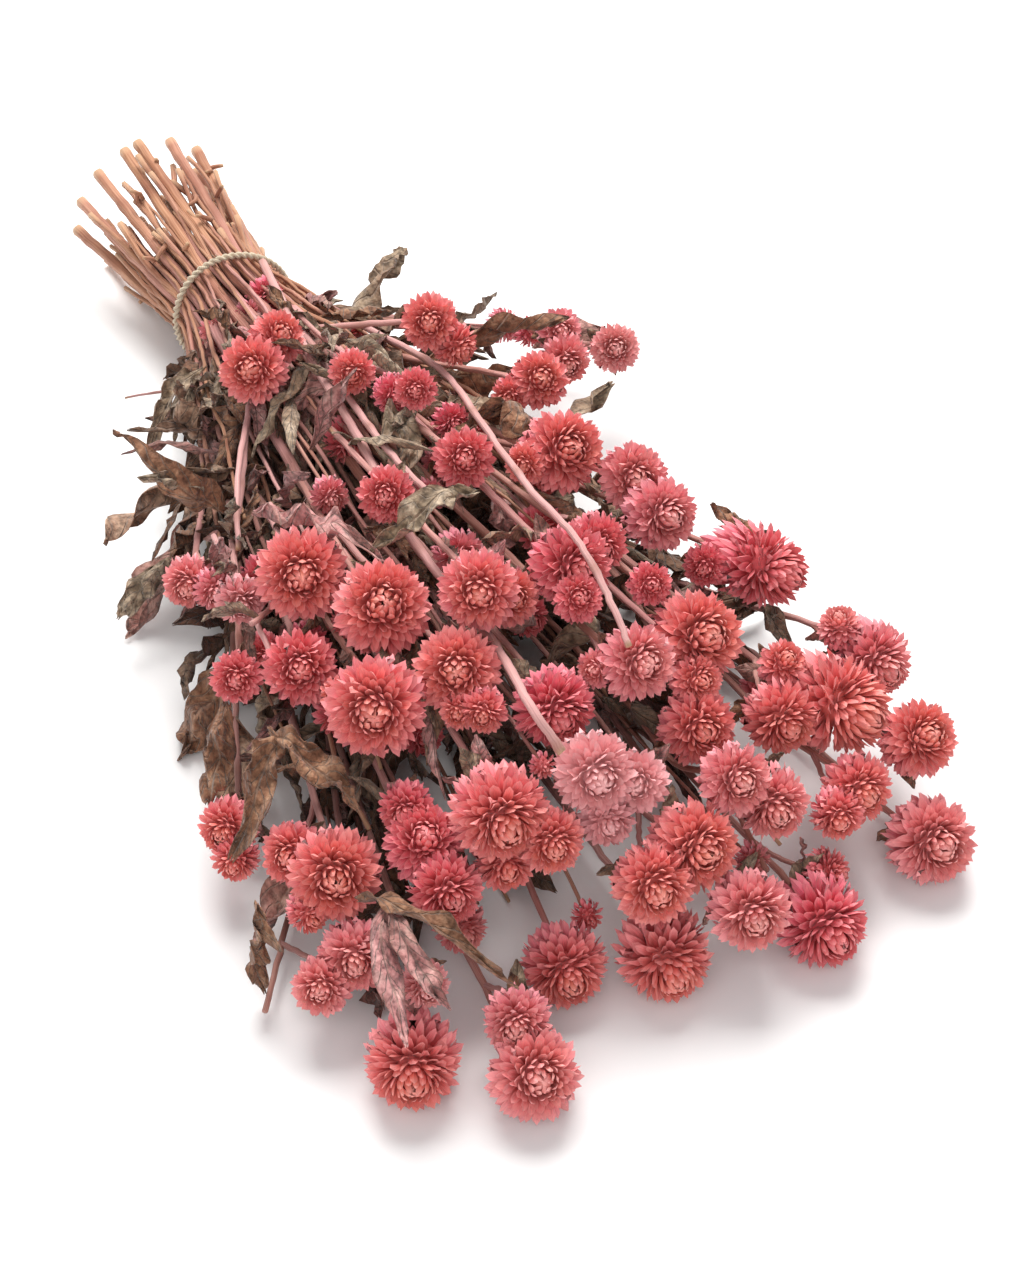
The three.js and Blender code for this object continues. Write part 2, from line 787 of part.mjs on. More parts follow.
function planLeaf(route, at, obstacles, size, draw) {
  const { root, along } = leafRoot(route, at);
  const outward = new THREE.Vector3(0, root.y, root.z - LOOP_HEIGHT * 1.2).normalize();
  const aside = new THREE.Vector3(0, draw() - 0.5, draw() - 0.5);
  const leaving = clearWay(root, obstacles).multiplyScalar(0.8)
    .add(outward.multiplyScalar(0.5)).add(aside).addScaledVector(along, 0.2 + 0.6 * draw()).normalize();
  const length = between(draw, LEAF_LENGTH) * size;
  const width = between(draw, LEAF_WIDTH) * size ** 0.5;
  const curl = (draw() < 0.7 ? 1 : -1) * between(draw, LEAF_CURL);
  return shapedLeaf(root, leaving, along, length, width, curl, (draw() - 0.5) * 2.4, draw);
}

function planBigLeaf(route, at, row, size, draw) {
  const [, , , turn, lift, length, width, curl] = row;
  const { root } = leafRoot(route, at);
  const stray = (1 - size) * 200;
  const leaving = pointing(turn + (draw() - 0.5) * stray, lift + (draw() - 0.5) * stray);
  const down = new THREE.Vector3(0, 0, -1);
  return shapedLeaf(root, leaving, down, length * size, width, curl, (draw() - 0.5) * 1.6, draw);
}

function shapedLeaf(root, leaving, towards, length, width, curl, twist, draw) {
  const over = towards.clone().addScaledVector(leaving, -towards.dot(leaving)).normalize();
  const wave = (0.08 + 0.1 * draw()) * width;
  return { root, leaving, over, length, width, curl, twist, wave, phase: draw() * Math.PI * 2 };
}

function leafRings(leaf, thickness, margin) {
  const side = leaf.leaving.clone().cross(leaf.over);
  const step = leaf.length / (LEAF_STATIONS - 1);
  const rings = [];
  let point = leaf.root.clone();
  for (let k = 0; k < LEAF_STATIONS; k++) {
    const share = k / (LEAF_STATIONS - 1);
    const angle = leaf.curl * share ** 1.3;
    const ahead = leaf.leaving.clone().multiplyScalar(Math.cos(angle));
    ahead.addScaledVector(leaf.over, Math.sin(angle));
    if (k > 0) point = point.clone().addScaledVector(ahead, step);
    point.z = Math.max(point.z, 3);
    const turn = leaf.twist * share;
    const flat = ahead.clone().cross(side);
    const across = side.clone().multiplyScalar(Math.cos(turn)).addScaledVector(flat, Math.sin(turn));
    const normal = ahead.clone().cross(across);
    const half = Math.max(STALK_HALF, (leaf.width / 2) * LEAF_OUTLINE[k]) + margin;
    const lift = thickness / 2;
    const left = leaf.wave * share * Math.sin(leaf.phase + 2.6 * k);
    const right = leaf.wave * share * Math.sin(leaf.phase + 2.1 + 2.6 * k);
    const at = (sideways, up) => point.clone().addScaledVector(across, sideways).addScaledVector(normal, up);
    const under = [at(-half, left - lift), at(half, right - lift)];
    rings.push([...under, at(half, right + lift), at(-half, left + lift)]);
  }
  return rings;
}

function leafSolid(leaf) {
  return toSolid(loft(leafRings(leaf, LEAF_THICKNESS, 0), true));
}

function boxOf(solid) {
  const { min, max } = solid.boundingBox();
  return new THREE.Box3(new THREE.Vector3(...min), new THREE.Vector3(...max));
}

// A leaf that would cross something is bent another way, by up to this many new draws
const LEAF_TRIES = 40;

function clearLeaf(route, spaces, plan) {
  for (let attempt = 0; attempt < LEAF_TRIES; attempt++) {
    const leaf = plan(1 - (0.55 * attempt) / LEAF_TRIES);
    const rings = leafRings(leaf, LEAF_THICKNESS + 2 * FAT, FAT);
    const room = toSolid(loft(rings, true));
    const blade = toSolid(loft(rings.slice(1), true));
    const box = boxOf(room);
    const crossed = spaces.some((space) => {
      if (!space.box.intersectsBox(box)) return false;
      return !space.solid.intersect(space.stem === route.stem ? blade : room).isEmpty();
    });
    if (!crossed && box.max.z < LEAF_CEILING) return { leaf, room };
  }
  return null;
}

const placed = STEMS.map((stem) => ({
  ...stem,
  groups: stem.groups.map((group) => ({ ...group, heads: group.heads.map((row) => readHead(row, group)) })),
}));
settleHeads(placed.flatMap((stem) => stem.groups.map((group) => group.heads)));
const plans = placed.map(planStem);
PARTNERS.forEach((row, i) => plans[row[2]].routes.push(planPartner(row, plans, i)));
const routes = plans.flatMap((plan) => plan.routes);
const heads = plans.flatMap((plan) => plan.groups.flatMap((group) => group.heads));
bendClear(routes, heads);

const bunch = new THREE.Group();

function numbered(index) {
  return String(index + 1).padStart(2, "0");
}

// The spaces that leaves keep out of
function spaceOf(solid, stem) {
  return { solid, box: boxOf(solid), stem };
}

const spaces = routes.map((route) => {
  const sides = route.holeAt === undefined ? BRANCH_SIDES : STEM_SIDES;
  const fat = route.radii.map((radius) => (radius + FAT) / Math.cos(Math.PI / sides));
  return spaceOf(toSolid(tube(route.points, fat, sides)), route.stem);
});
heads.forEach((head) => {
  const ball = new THREE.SphereGeometry(1, 12, 8);
  const wide = (head.width / 2 + FAT) * 1.05;
  ball.scale(wide, wide, (head.length / 2 + FAT) * 1.05);
  ball.applyQuaternion(new THREE.Quaternion().setFromUnitVectors(new THREE.Vector3(0, 0, 1), head.axis));
  ball.translate(head.middle.x, head.middle.y, head.middle.z);
  spaces.push(spaceOf(toSolid(ball), null));
});

plans.forEach((plan, index) => {
  const draw = seeded(HEAD_SEED + index);
  plan.groups.forEach((group, place) => {
    const mesh = new THREE.Mesh(
      toGeometry(headGroup(group.heads, draw)),
      new THREE.MeshStandardMaterial({ color: COLOURS[group.colour], roughness: 0.9, metalness: 0 }),
    );
    mesh.name = `head_${numbered(index)}_${place + 1}`;
    bunch.add(mesh);
  });
  plan.leaves = [];
});

// The big leaves find their places first, then smaller ones fill in between them
BIG_LEAVES.forEach((row, i) => {
  const [stemIndex, routeIndex, reach] = row;
  const route = plans[stemIndex].routes[routeIndex];
  const sites = route.points.slice(1, route.points.length - 1);
  const site = sites.reduce((a, b) => (Math.abs(b.x - reach) < Math.abs(a.x - reach) ? b : a));
  const at = route.points.indexOf(site);
  const draw = seeded(LEAF_SEED - 1 - i);
  const found = clearLeaf(route, spaces, (size) => planBigLeaf(route, at, row, size, draw));
  if (!found) return;
  plans[stemIndex].leaves.push({ ...found, route, at });
  spaces.push(spaceOf(found.room, null));
});

const nearby = routes.flatMap((route) => route.points).concat(heads.map((head) => head.middle));
plans.forEach((plan, index) => {
  const draw = seeded(LEAF_SEED + index);
  plan.routes.forEach((route) => {
    for (let at = 1; at < route.points.length - 2; at++) {
      const reach = route.points[at].x;
      if (reach < LEAF_REACH[0] || reach > LEAF_REACH[1]) continue;
      if (draw() > (reach < DENSE_REACH ? DENSE_CHANCE : THIN_CHANCE)) continue;
      if (plan.leaves.some((leaf) => leaf.route === route && leaf.at === at)) continue;
      const found = clearLeaf(route, spaces, (size) => planLeaf(route, at, nearby, size, draw));
      if (!found) continue;
      plan.leaves.push({ ...found, route, at });
      spaces.push(spaceOf(found.room, null));
    }
  });
});

// A stem, its side branches, partners and leaves are one body
plans.forEach((plan, index) => {
  const pieces = plan.routes.map((route) => {
    const sides = route.holeAt === undefined ? BRANCH_SIDES : STEM_SIDES;
    return toSolid(tube(route.points, route.radii, sides, route.ownHead?.axis));
  });
  const leaves = plan.leaves.map(({ leaf }) => leafSolid(leaf));
  const solid = [...pieces, ...leaves].reduce((joined, piece) => joined.add(piece));
  const mesh = new THREE.Mesh(
    toGeometry(restOnFloor(solid)),
    new THREE.MeshStandardMaterial({ color: COLOURS.stem, roughness: 0.85, metalness: 0 }),
  );
  mesh.name = `stem_${numbered(index)}`;
  bunch.add(mesh);
});

// The cord loop round the stems sways a little, and has a small flat where it touches the surface
const CORD_SIDES = 6;
const CORD_RINGS = 28;
const CORD_POINTS = 24;
const CORD_SWAY = 1.2;
const SWAY_PHASE = 0.6;

const turns = new THREE.CatmullRomCurve3(
  Array.from({ length: CORD_POINTS }, (_, i) => {
    const angle = (2 * Math.PI * i) / CORD_POINTS;
    const sway = CORD_SWAY * Math.sin(2 * angle + SWAY_PHASE);
    const up = LOOP_HEIGHT + LOOP_RADIUS * Math.sin(angle);
    return new THREE.Vector3(sway, LOOP_RADIUS * Math.cos(angle), up);
  }),
  true,
);
const loopRings = turns.getSpacedPoints(CORD_RINGS).slice(0, CORD_RINGS).map((point) => {
  const out = new THREE.Vector3(0, point.y, point.z - LOOP_HEIGHT).normalize();
  return Array.from({ length: CORD_SIDES }, (_, k) => {
    const angle = (2 * Math.PI * k) / CORD_SIDES;
    return point.clone().addScaledVector(out, CORD_RADIUS * Math.cos(angle)).add(
      new THREE.Vector3(CORD_RADIUS * Math.sin(angle), 0, 0),
    );
  });
});
const loopPoints = loopRings.flat();
const loopFaces = [];
loopRings.forEach((_, r) => {
  const next = (r + 1) % loopRings.length;
  for (let k = 0; k < CORD_SIDES; k++) {
    const side = (k + 1) % CORD_SIDES;
    const low = r * CORD_SIDES;
    const high = next * CORD_SIDES;
    loopFaces.push([low + k, high + side, low + side], [low + k, high + k, high + side]);
  }
});
const cord = new THREE.Mesh(
  toGeometry(restOnFloor(toSolid(closedMesh(loopPoints, loopFaces)))),
  new THREE.MeshStandardMaterial({ color: COLOURS.cord, roughness: 0.9, metalness: 0 }),
);
cord.name = "tie";
bunch.add(cord);

// The origin is the middle of the bunch's box, on the surface it lies on
const box = new THREE.Box3().setFromObject(bunch);
bunch.position.set(-(box.min.x + box.max.x) / 2, -(box.min.y + box.max.y) / 2, -box.min.z);
bunch.updateMatrixWorld(true);

export default bunch;
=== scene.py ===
# A bunch of dried globe amaranth, lying on a white studio table.
import json
import math
from itertools import combinations, cycle

import bmesh
import bpy
import numpy as np
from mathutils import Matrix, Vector


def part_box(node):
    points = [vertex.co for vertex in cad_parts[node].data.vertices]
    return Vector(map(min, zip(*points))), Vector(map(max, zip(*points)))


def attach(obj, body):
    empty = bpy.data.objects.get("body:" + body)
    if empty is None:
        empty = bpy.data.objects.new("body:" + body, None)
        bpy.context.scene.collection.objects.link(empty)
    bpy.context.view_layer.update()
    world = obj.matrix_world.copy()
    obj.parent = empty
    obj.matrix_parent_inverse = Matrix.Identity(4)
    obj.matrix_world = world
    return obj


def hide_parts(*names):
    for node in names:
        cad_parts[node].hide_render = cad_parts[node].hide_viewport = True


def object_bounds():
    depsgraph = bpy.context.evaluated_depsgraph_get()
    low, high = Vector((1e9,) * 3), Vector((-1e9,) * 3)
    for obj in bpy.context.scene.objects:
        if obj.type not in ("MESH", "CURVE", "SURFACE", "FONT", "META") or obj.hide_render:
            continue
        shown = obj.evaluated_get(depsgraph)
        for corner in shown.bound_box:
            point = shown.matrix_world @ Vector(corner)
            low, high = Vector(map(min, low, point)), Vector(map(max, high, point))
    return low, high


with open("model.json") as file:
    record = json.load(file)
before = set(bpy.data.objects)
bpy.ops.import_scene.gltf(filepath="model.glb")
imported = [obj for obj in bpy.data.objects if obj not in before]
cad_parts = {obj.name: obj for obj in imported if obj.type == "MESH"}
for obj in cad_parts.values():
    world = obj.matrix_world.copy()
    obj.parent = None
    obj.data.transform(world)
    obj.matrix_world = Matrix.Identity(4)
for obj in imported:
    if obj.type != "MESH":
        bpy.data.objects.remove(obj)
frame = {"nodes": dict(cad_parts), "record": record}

cad_box = [list(corner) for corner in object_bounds()]
mm = 0.001

# Studio: a plain white table under a big soft light from behind, with a weak fill from
# the front left. The camera looks down along the bunch from the flower heads, as in the photograph.
bpy.ops.object.select_all(action="DESELECT")
bpy.ops.mesh.primitive_plane_add(size=14, location=(0, 0, 0))
table = bpy.context.object
table.name = "table_top"


def new_finish(name, roughness, specular, sheen=0.0):
    finish = bpy.data.materials.new(name)
    finish.use_nodes = True
    shader = finish.node_tree.nodes["Principled BSDF"]
    shader.inputs["Roughness"].default_value = roughness
    shader.inputs["Specular IOR Level"].default_value = specular
    shader.inputs["Sheen Weight"].default_value = sheen
    return finish, finish.node_tree, shader


white, _, white_shader = new_finish("white_table", 0.9, 0.1)
white_shader.inputs["Base Color"].default_value = (0.935, 0.935, 0.938, 1)
table.data.materials.append(white)

sky = bpy.data.worlds.new("studio_light")
bpy.context.scene.world = sky
sky.use_nodes = True
sky.node_tree.nodes["Background"].inputs["Color"].default_value = (0.955, 0.965, 0.98, 1)
sky.node_tree.nodes["Background"].inputs["Strength"].default_value = 0.44


def softbox(name, place, aim, size, watts, colour):
    lamp = bpy.data.lights.new(name, "AREA")
    lamp.shape = "SQUARE"
    lamp.size = size
    lamp.energy = watts
    lamp.color = colour
    holder = bpy.data.objects.new(name, lamp)
    bpy.context.scene.collection.objects.link(holder)
    holder.location = place
    holder.rotation_euler = (Vector(aim) - Vector(place)).to_track_quat("-Z", "Y").to_euler()


softbox("key_softbox", (-0.9, 0.45, 1.5), (0.0, 0.0, 0.02), 1.2, 49, (1.0, 0.985, 0.96))
softbox("fill_softbox", (1.1, -0.9, 1.2), (0.0, 0.0, 0.02), 1.8, 13, (1.0, 0.97, 0.95))

view = bpy.data.cameras.new("camera")
view.lens = 70
view.sensor_fit = "VERTICAL"
view.sensor_height = 36
camera = bpy.data.objects.new("camera", view)
bpy.context.scene.collection.objects.link(camera)
camera.location = (0.5646, -0.2593, 0.5714)
camera_aim = Vector((0.0430, 0.0201, 0.0))
camera.rotation_euler = (camera_aim - camera.location).to_track_quat("-Z", "Y").to_euler()
bpy.context.scene.camera = camera
bpy.context.scene.view_settings.view_transform = "Standard"


# Blooms: 81 flower heads, each a ball of dry papery bracts, some ninety on the smallest and 240 on the
# largest. They grow from a small heart at the end of a stem, and kept their coral, rose and crimson.

# Where they sit: every CAD head ends in one corner that all its last bracts meet in, and those bracts'
# corners lie on circles round the head's axis. Circles and corner give its place and its size, in metres.
SNAP = 2e-6
SAME = 4e-6
CLOSE = 1e-5
LEAST_AREA = 1e-6
WIDEST = 0.03
FEWEST_AT_TIP = 8


def welded(name):
    mesh = frame["nodes"][name].data
    loose = np.empty(len(mesh.vertices) * 3)
    mesh.vertices.foreach_get("co", loose)
    loose = loose.reshape(-1, 3)
    keys, index = np.unique(np.round(loose / SNAP).astype(np.int64), axis=0, return_inverse=True)
    index = index.reshape(-1)
    points = np.zeros((len(keys), 3))
    points[index] = loose
    corners = np.empty(len(mesh.loops), dtype=np.int64)
    mesh.loops.foreach_get("vertex_index", corners)
    triangles = index[corners].reshape(-1, 3)
    beside = [set() for _ in keys]
    for a, b, c in triangles:
        beside[a] |= {b, c}
        beside[b] |= {a, c}
        beside[c] |= {a, b}
    for own, near in enumerate(beside):
        near.discard(own)
    return points, beside


def unit(vector):
    return vector / np.linalg.norm(vector, axis=-1, keepdims=True)


# Each ring of bracts on a CAD head: the heights the rings run between, how far back in a ring's step its
# points and its hollows lie, and how far out the hollows and the apex stand, in shares of the head.
LOWEST = math.radians(-60)
HIGHEST = math.radians(74)
POINT_BACK = 0.1
HOLLOW_BACK = 0.55
HOLLOW = 0.83
APEX = 0.92


class Head:
    def __init__(self, apex, axis, width, length):
        self.axis, self.width, self.length = axis, width, length
        self.reach = max(width, length) / 2
        self.middle = apex - axis * APEX * length / 2
        self.base = self.middle + axis * length / 2 * math.sin(LOWEST)


def heads_of(name):
    points, beside = welded(name)
    found = []
    for corner, near in enumerate(beside):
        if len(near) < FEWEST_AT_TIP:
            continue
        spokes = points[sorted(near)] - points[corner]
        reach = np.linalg.norm(spokes, axis=1)
        threes = np.array(list(combinations(range(len(spokes)), 3)))
        threes = threes[np.ptp(reach[threes], axis=1) < SAME]
        if len(threes) < 2:
            continue
        # Three spokes of one length stand on a circle, and the circles of a head agree on its axis
        first, second, third = spokes[threes].transpose(1, 0, 2)
        normal = np.cross(second - first, third - first)
        area = np.linalg.norm(normal, axis=1)
        normal = normal[area > LEAST_AREA] / area[area > LEAST_AREA, None]
        if len(normal) < 2:
            continue
        agree = np.abs(normal @ normal.T) > 1 - SAME
        best = agree.sum(1).argmax()
        alike = normal[agree[best]]
        if len(alike) < 2:
            continue
        axis = unit((alike * np.sign(alike @ normal[best])[:, None]).mean(0))
        if (spokes @ axis).mean() > 0:
            axis = -axis
        down = -(spokes @ axis)
        out = np.linalg.norm(spokes + down[:, None] * axis, axis=1)
        width, length = fitted(down, out)
        if width:
            found.append(Head(points[corner], axis, width, length))
    return found


def fitted(down, out):
    """The width and length of a head, on which both a point and a hollow of its last ring agree."""
    best = (CLOSE, 0, 0)
    for rings in (3, 4):
        step = (HIGHEST - LOWEST) / rings
        tip = LOWEST + step * (rings - POINT_BACK)
        dip = LOWEST + step * (rings - HOLLOW_BACK)
        for i, j in combinations(range(len(out)), 2):
            for a, b in ((i, j), (j, i)):
                width = 2 * out[a] / math.cos(tip)
                if abs(width * HOLLOW * math.cos(dip) / 2 - out[b]) > SAME or width > WIDEST:
                    continue
                length = 2 * down[b] / (APEX - HOLLOW * math.sin(dip))
                miss = abs(length / 2 * (APEX - math.sin(tip)) - down[a])
                if miss < best[0]:
                    best = (miss, width, length)
    return best[1:]


heads = {name: heads_of(name) for name in sorted(frame["nodes"]) if name.startswith("head")}
for group in heads.values():
    group.sort(key=lambda head: -head.width)
all_heads = [head for group in heads.values() for head in group]


def socket_value(tree, socket, value):
    if isinstance(value, bpy.types.NodeSocket):
        tree.links.new(value, socket)
    else:
        socket.default_value = value


def node(tree, kind, inputs=(), **settings):
    made = tree.nodes.new(kind)
    for name, value in settings.items():
        setattr(made, name, value)
    for name, value in dict(inputs).items():
        socket_value(tree, made.inputs[name], value)
    return made


def mixed(tree, share, first, second, way="MIX"):
    blend = node(tree, "ShaderNodeMix", {0: share, 6: first, 7: second}, data_type="RGBA", blend_type=way)
    return blend.outputs[2]


def ramped(tree, value, *stops):
    ramp = node(tree, "ShaderNodeValToRGB", {"Fac": value})
    while len(ramp.color_ramp.elements) < len(stops):
        ramp.color_ramp.elements.new(0.5)
    for element, (place, colour) in zip(ramp.color_ramp.elements, stops):
        element.position = place
        element.color = (*colour, 1)
    return ramp.outputs["Color"]


def calculated(tree, way, first, second=0.0):
    return node(tree, "ShaderNodeMath", {0: first, 1: second}, operation=way).outputs[0]


def attribute(tree, name):
    read = node(tree, "ShaderNodeAttribute", attribute_name=name)
    parts = node(tree, "ShaderNodeSeparateXYZ", {0: read.outputs["Vector"]})
    return read.outputs["Vector"], parts.outputs["X"], parts.outputs["Y"], parts.outputs["Z"]


def grey(level):
    return (level, level, level)


def times(tree, first, second):
    return calculated(tree, "MULTIPLY", first, second)


def tinted(tree, colour, by):
    return mixed(tree, 1.0, colour, by, "MULTIPLY")


def noise(tree, scale, detail, painted=None, stretch=None, roughness=0.5):
    """Noise over a painted vector that is stretched first, or else over the place on the object."""
    if painted is None:
        place = node(tree, "ShaderNodeTexCoord").outputs["Object"]
    else:
        place = node(tree, "ShaderNodeMapping", {"Vector": painted, "Scale": stretch}).outputs[0]
    inputs = {"Vector": place, "Scale": scale, "Detail": detail, "Roughness": roughness}
    return node(tree, "ShaderNodeTexNoise", inputs).outputs["Fac"]


def finished(tree, shader, colour, height, strength, depth):
    bump = node(tree, "ShaderNodeBump", {"Height": height, "Strength": strength, "Distance": depth})
    socket_value(tree, shader.inputs["Base Color"], colour)
    socket_value(tree, shader.inputs["Normal"], bump.outputs[0])


# Colours of one bloom, from the bracts by the stem to those at the tip
BLOOM_COLOURS = {
    "bloom_coral": ((0.96, 0.24, 0.34), (0.94, 0.27, 0.19)),
    "bloom_rose": ((0.95, 0.31, 0.44), (0.96, 0.40, 0.37)),
    "bloom_crimson": ((0.86, 0.13, 0.25), (0.89, 0.19, 0.20)),
    "bloom_dusty": ((0.88, 0.42, 0.48), (0.95, 0.52, 0.52)),
}


def bract_finish(slot):
    finish, tree, shader = new_finish(slot, 0.5, 0.35, 0.15)
    by_stem, by_tip = BLOOM_COLOURS[slot]
    grain, across, along, chance = attribute(tree, "grain")
    _, height, tone, pale = attribute(tree, "bloom")
    body = mixed(tree, height, (*by_stem, 1), (*by_tip, 1))
    warm = mixed(tree, times(tree, tone, 0.3), body, (0.93, 0.29, 0.18, 1))
    varied = mixed(tree, times(tree, chance, 0.25), warm, (0.86, 0.18, 0.28, 1))
    # Pale papery tips and rims, and painted shade: darker colour down between the bracts, towards their feet
    rim = ramped(tree, calculated(tree, "ABSOLUTE", across), (0.4, grey(0)), (1.0, grey(0.6)))
    tip = ramped(tree, along, (0.55, grey(0)), (1.0, grey(0.34)))
    paler = calculated(tree, "MAXIMUM", tip, times(tree, rim, along))
    tipped = mixed(tree, paler, varied, (1.0, 0.60, 0.57, 1))
    painted_shade = tinted(tree, tipped, ramped(tree, along, (0.0, (0.60, 0.27, 0.24)), (0.62, grey(1))))
    streak = noise(tree, 3.0, 2.0, grain, (5.0, 0.9, 40.0))
    veined = tinted(tree, painted_shade, ramped(tree, streak, (0.3, (0.80, 0.74, 0.74)), (0.7, (1.12, 1.1, 1.08))))
    faded = mixed(tree, pale, veined, (0.95, 0.56, 0.58, 1))
    finished(tree, shader, faded, streak, 0.25, 0.3 * mm)
    return finish


# One bract by hand: a four-sided spike whose foot is drawn down in steps, wider and then narrow again,
# pressed flat, and its inner side pushed up behind the keel so that it is a thin folded blade. It is one
# long and one wide, and each step is given by its height and its width.
BRACT_STATIONS = ((0.80, 0.78), (0.46, 1.0), (0.0, 0.45))
BRACT_FLATNESS = 0.48
BRACT_FOLD = -0.6
TIP_DEPTH = 1 - BRACT_STATIONS[0][0]
bpy.ops.object.select_all(action="DESELECT")
bpy.ops.mesh.primitive_cone_add(vertices=4, radius1=BRACT_STATIONS[0][1] / 2, radius2=0, depth=TIP_DEPTH,
                                location=(0, 0, 1 - TIP_DEPTH / 2))
spike = bpy.context.object
bpy.ops.object.mode_set(mode="EDIT")
bpy.ops.mesh.select_mode(type="FACE")
shape = bmesh.from_edit_mesh(spike.data)
for face in shape.faces:
    face.select_set(face.normal.z < -0.99)
bmesh.update_edit_mesh(spike.data)
for (upper, wide), (lower, wider) in zip(BRACT_STATIONS, BRACT_STATIONS[1:]):
    bpy.ops.mesh.extrude_region_move(TRANSFORM_OT_translate={"value": (0, 0, lower - upper)})
    bpy.ops.transform.resize(value=(wider / wide, wider / wide, 1))
bpy.ops.mesh.select_all(action="SELECT")
bpy.ops.transform.resize(value=(1, BRACT_FLATNESS, 1), center_override=(0, 0, 0))
bpy.ops.mesh.select_mode(type="VERT")
shape = bmesh.from_edit_mesh(spike.data)
for corner in shape.verts:
    corner.select_set(corner.co.y < -0.01)
bmesh.update_edit_mesh(spike.data)
bpy.ops.transform.resize(value=(1, BRACT_FOLD, 1), center_override=(0, 0, 0))
bpy.ops.object.mode_set(mode="OBJECT")
bpy.ops.object.transform_apply(location=True)
BRACT = np.array([corner.co[:] for corner in spike.data.vertices])
BRACT_FACES = sorted(tuple(face.vertices) for face in spike.data.polygons)
bpy.data.objects.remove(spike)

# The heart of a bloom, that the bracts grow from
bpy.ops.mesh.primitive_ico_sphere_add(subdivisions=2, radius=1)
ball = bpy.context.object
HEART = np.array([corner.co[:] for corner in ball.data.vertices])
HEART_FACES = [tuple(face.vertices) for face in ball.data.polygons]
bpy.data.objects.remove(ball)

# How the bracts stand at some heights between a bloom's stem and its tip, the heights as shares: how many
# degrees the tip of a bract is further up than its foot, how far out its tip, foot and hump are, where along
# it the hump is, how many degrees the last tips are pushed past the middle, and its width.
BLOOM_LEVELS = (0, 0.3, 0.6, 0.78, 0.9, 1)
BRACT_LEAN = (-26, -20, -8, 3, 11, 20)
BRACT_TIP = (1.10, 1.14, 1.13, 1.11, 1.05, 0.98)
BRACT_FOOT = (0.52, 0.50, 0.52, 0.56, 0.64, 0.74)
BRACT_HUMP = (0.82, 0.84, 0.88, 0.90, 0.93, 0.95)
HUMP_PLACE = (0.35, 0.35, 0.4, 0.5, 0.45, 0.4)
BRACT_PUSH = (0, 0, 0, 0, 2, 8)
BRACT_WIDTH = (0.124, 0.130, 0.120, 0.110, 0.096, 0.082)
FIRST_BRACT = math.radians(-64)
LAST_BRACT = 0.9995
TOWARDS_TIP = 1.42
GOLDEN = math.radians(137.508)
BRACT_CREASE = 32
HEART_SIZE = 0.56
# How many bracts a bloom of some widths in millimetres has, and how much broader they are on a small one
BLOOM_WIDTHS = (7, 13, 28)
BRACT_COUNTS = (40, 130, 245)
BROADER_AT = (12, 20, 28)
BROADER = (1.2, 1.05, 0.95)


def side_frame(axis):
    other = np.array([0.0, 0.0, 1.0]) if abs(axis[2]) < 0.9 else np.array([1.0, 0.0, 0.0])
    first = unit(np.cross(other, axis))
    return first, np.cross(axis, first)


def painted(shape, *values):
    """Three values for every corner, each spread over a grid of this shape."""
    return np.stack([np.broadcast_to(value, shape) for value in values], -1).reshape(-1, 3)


LEAST_HEIGHT = 0.2 * mm


class Piece:
    """Corners, faces and the values painted on them, gathered until they are made one mesh."""

    def __init__(self):
        self.corners, self.faces, self.painted, self.count = [], [], {}, 0

    def add(self, corners, faces, **layers):
        self.corners.append(corners)
        for name, values in layers.items():
            self.painted.setdefault(name, []).append(values)
        self.faces.append((self.count, faces))
        self.count += len(corners)

    def made(self, name, finish, slot, replaced=(), crease=None):
        mesh = bpy.data.meshes.new(name)
        corners = np.concatenate(self.corners)
        faces = [tuple(first + corner for corner in face) for first, group in self.faces for face in group]
        corners[:, 2] = np.maximum(corners[:, 2], LEAST_HEIGHT)
        mesh.from_pydata(corners.tolist(), [], faces)
        for label, values in self.painted.items():
            layer = mesh.attributes.new(label, "FLOAT_VECTOR", "POINT")
            layer.data.foreach_set("vector", np.concatenate(values).astype(np.float32).ravel())
        mesh.shade_smooth()
        if crease is not None:
            mesh.set_sharp_from_angle(angle=math.radians(crease))
        mesh.materials.append(finish)
        piece = bpy.data.objects.new(name, mesh)
        bpy.context.scene.collection.objects.link(piece)
        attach(piece, "root")
        if replaced:
            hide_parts(*replaced)
        return piece


def on_head(head, height, turn, share):
    first, second = side_frame(head.axis)
    level = np.cos(height) * share * head.width / 2
    return (head.middle + (level * np.cos(turn))[:, None] * first + (level * np.sin(turn))[:, None] * second
            + (np.sin(height) * share * head.length / 2)[:, None] * head.axis)


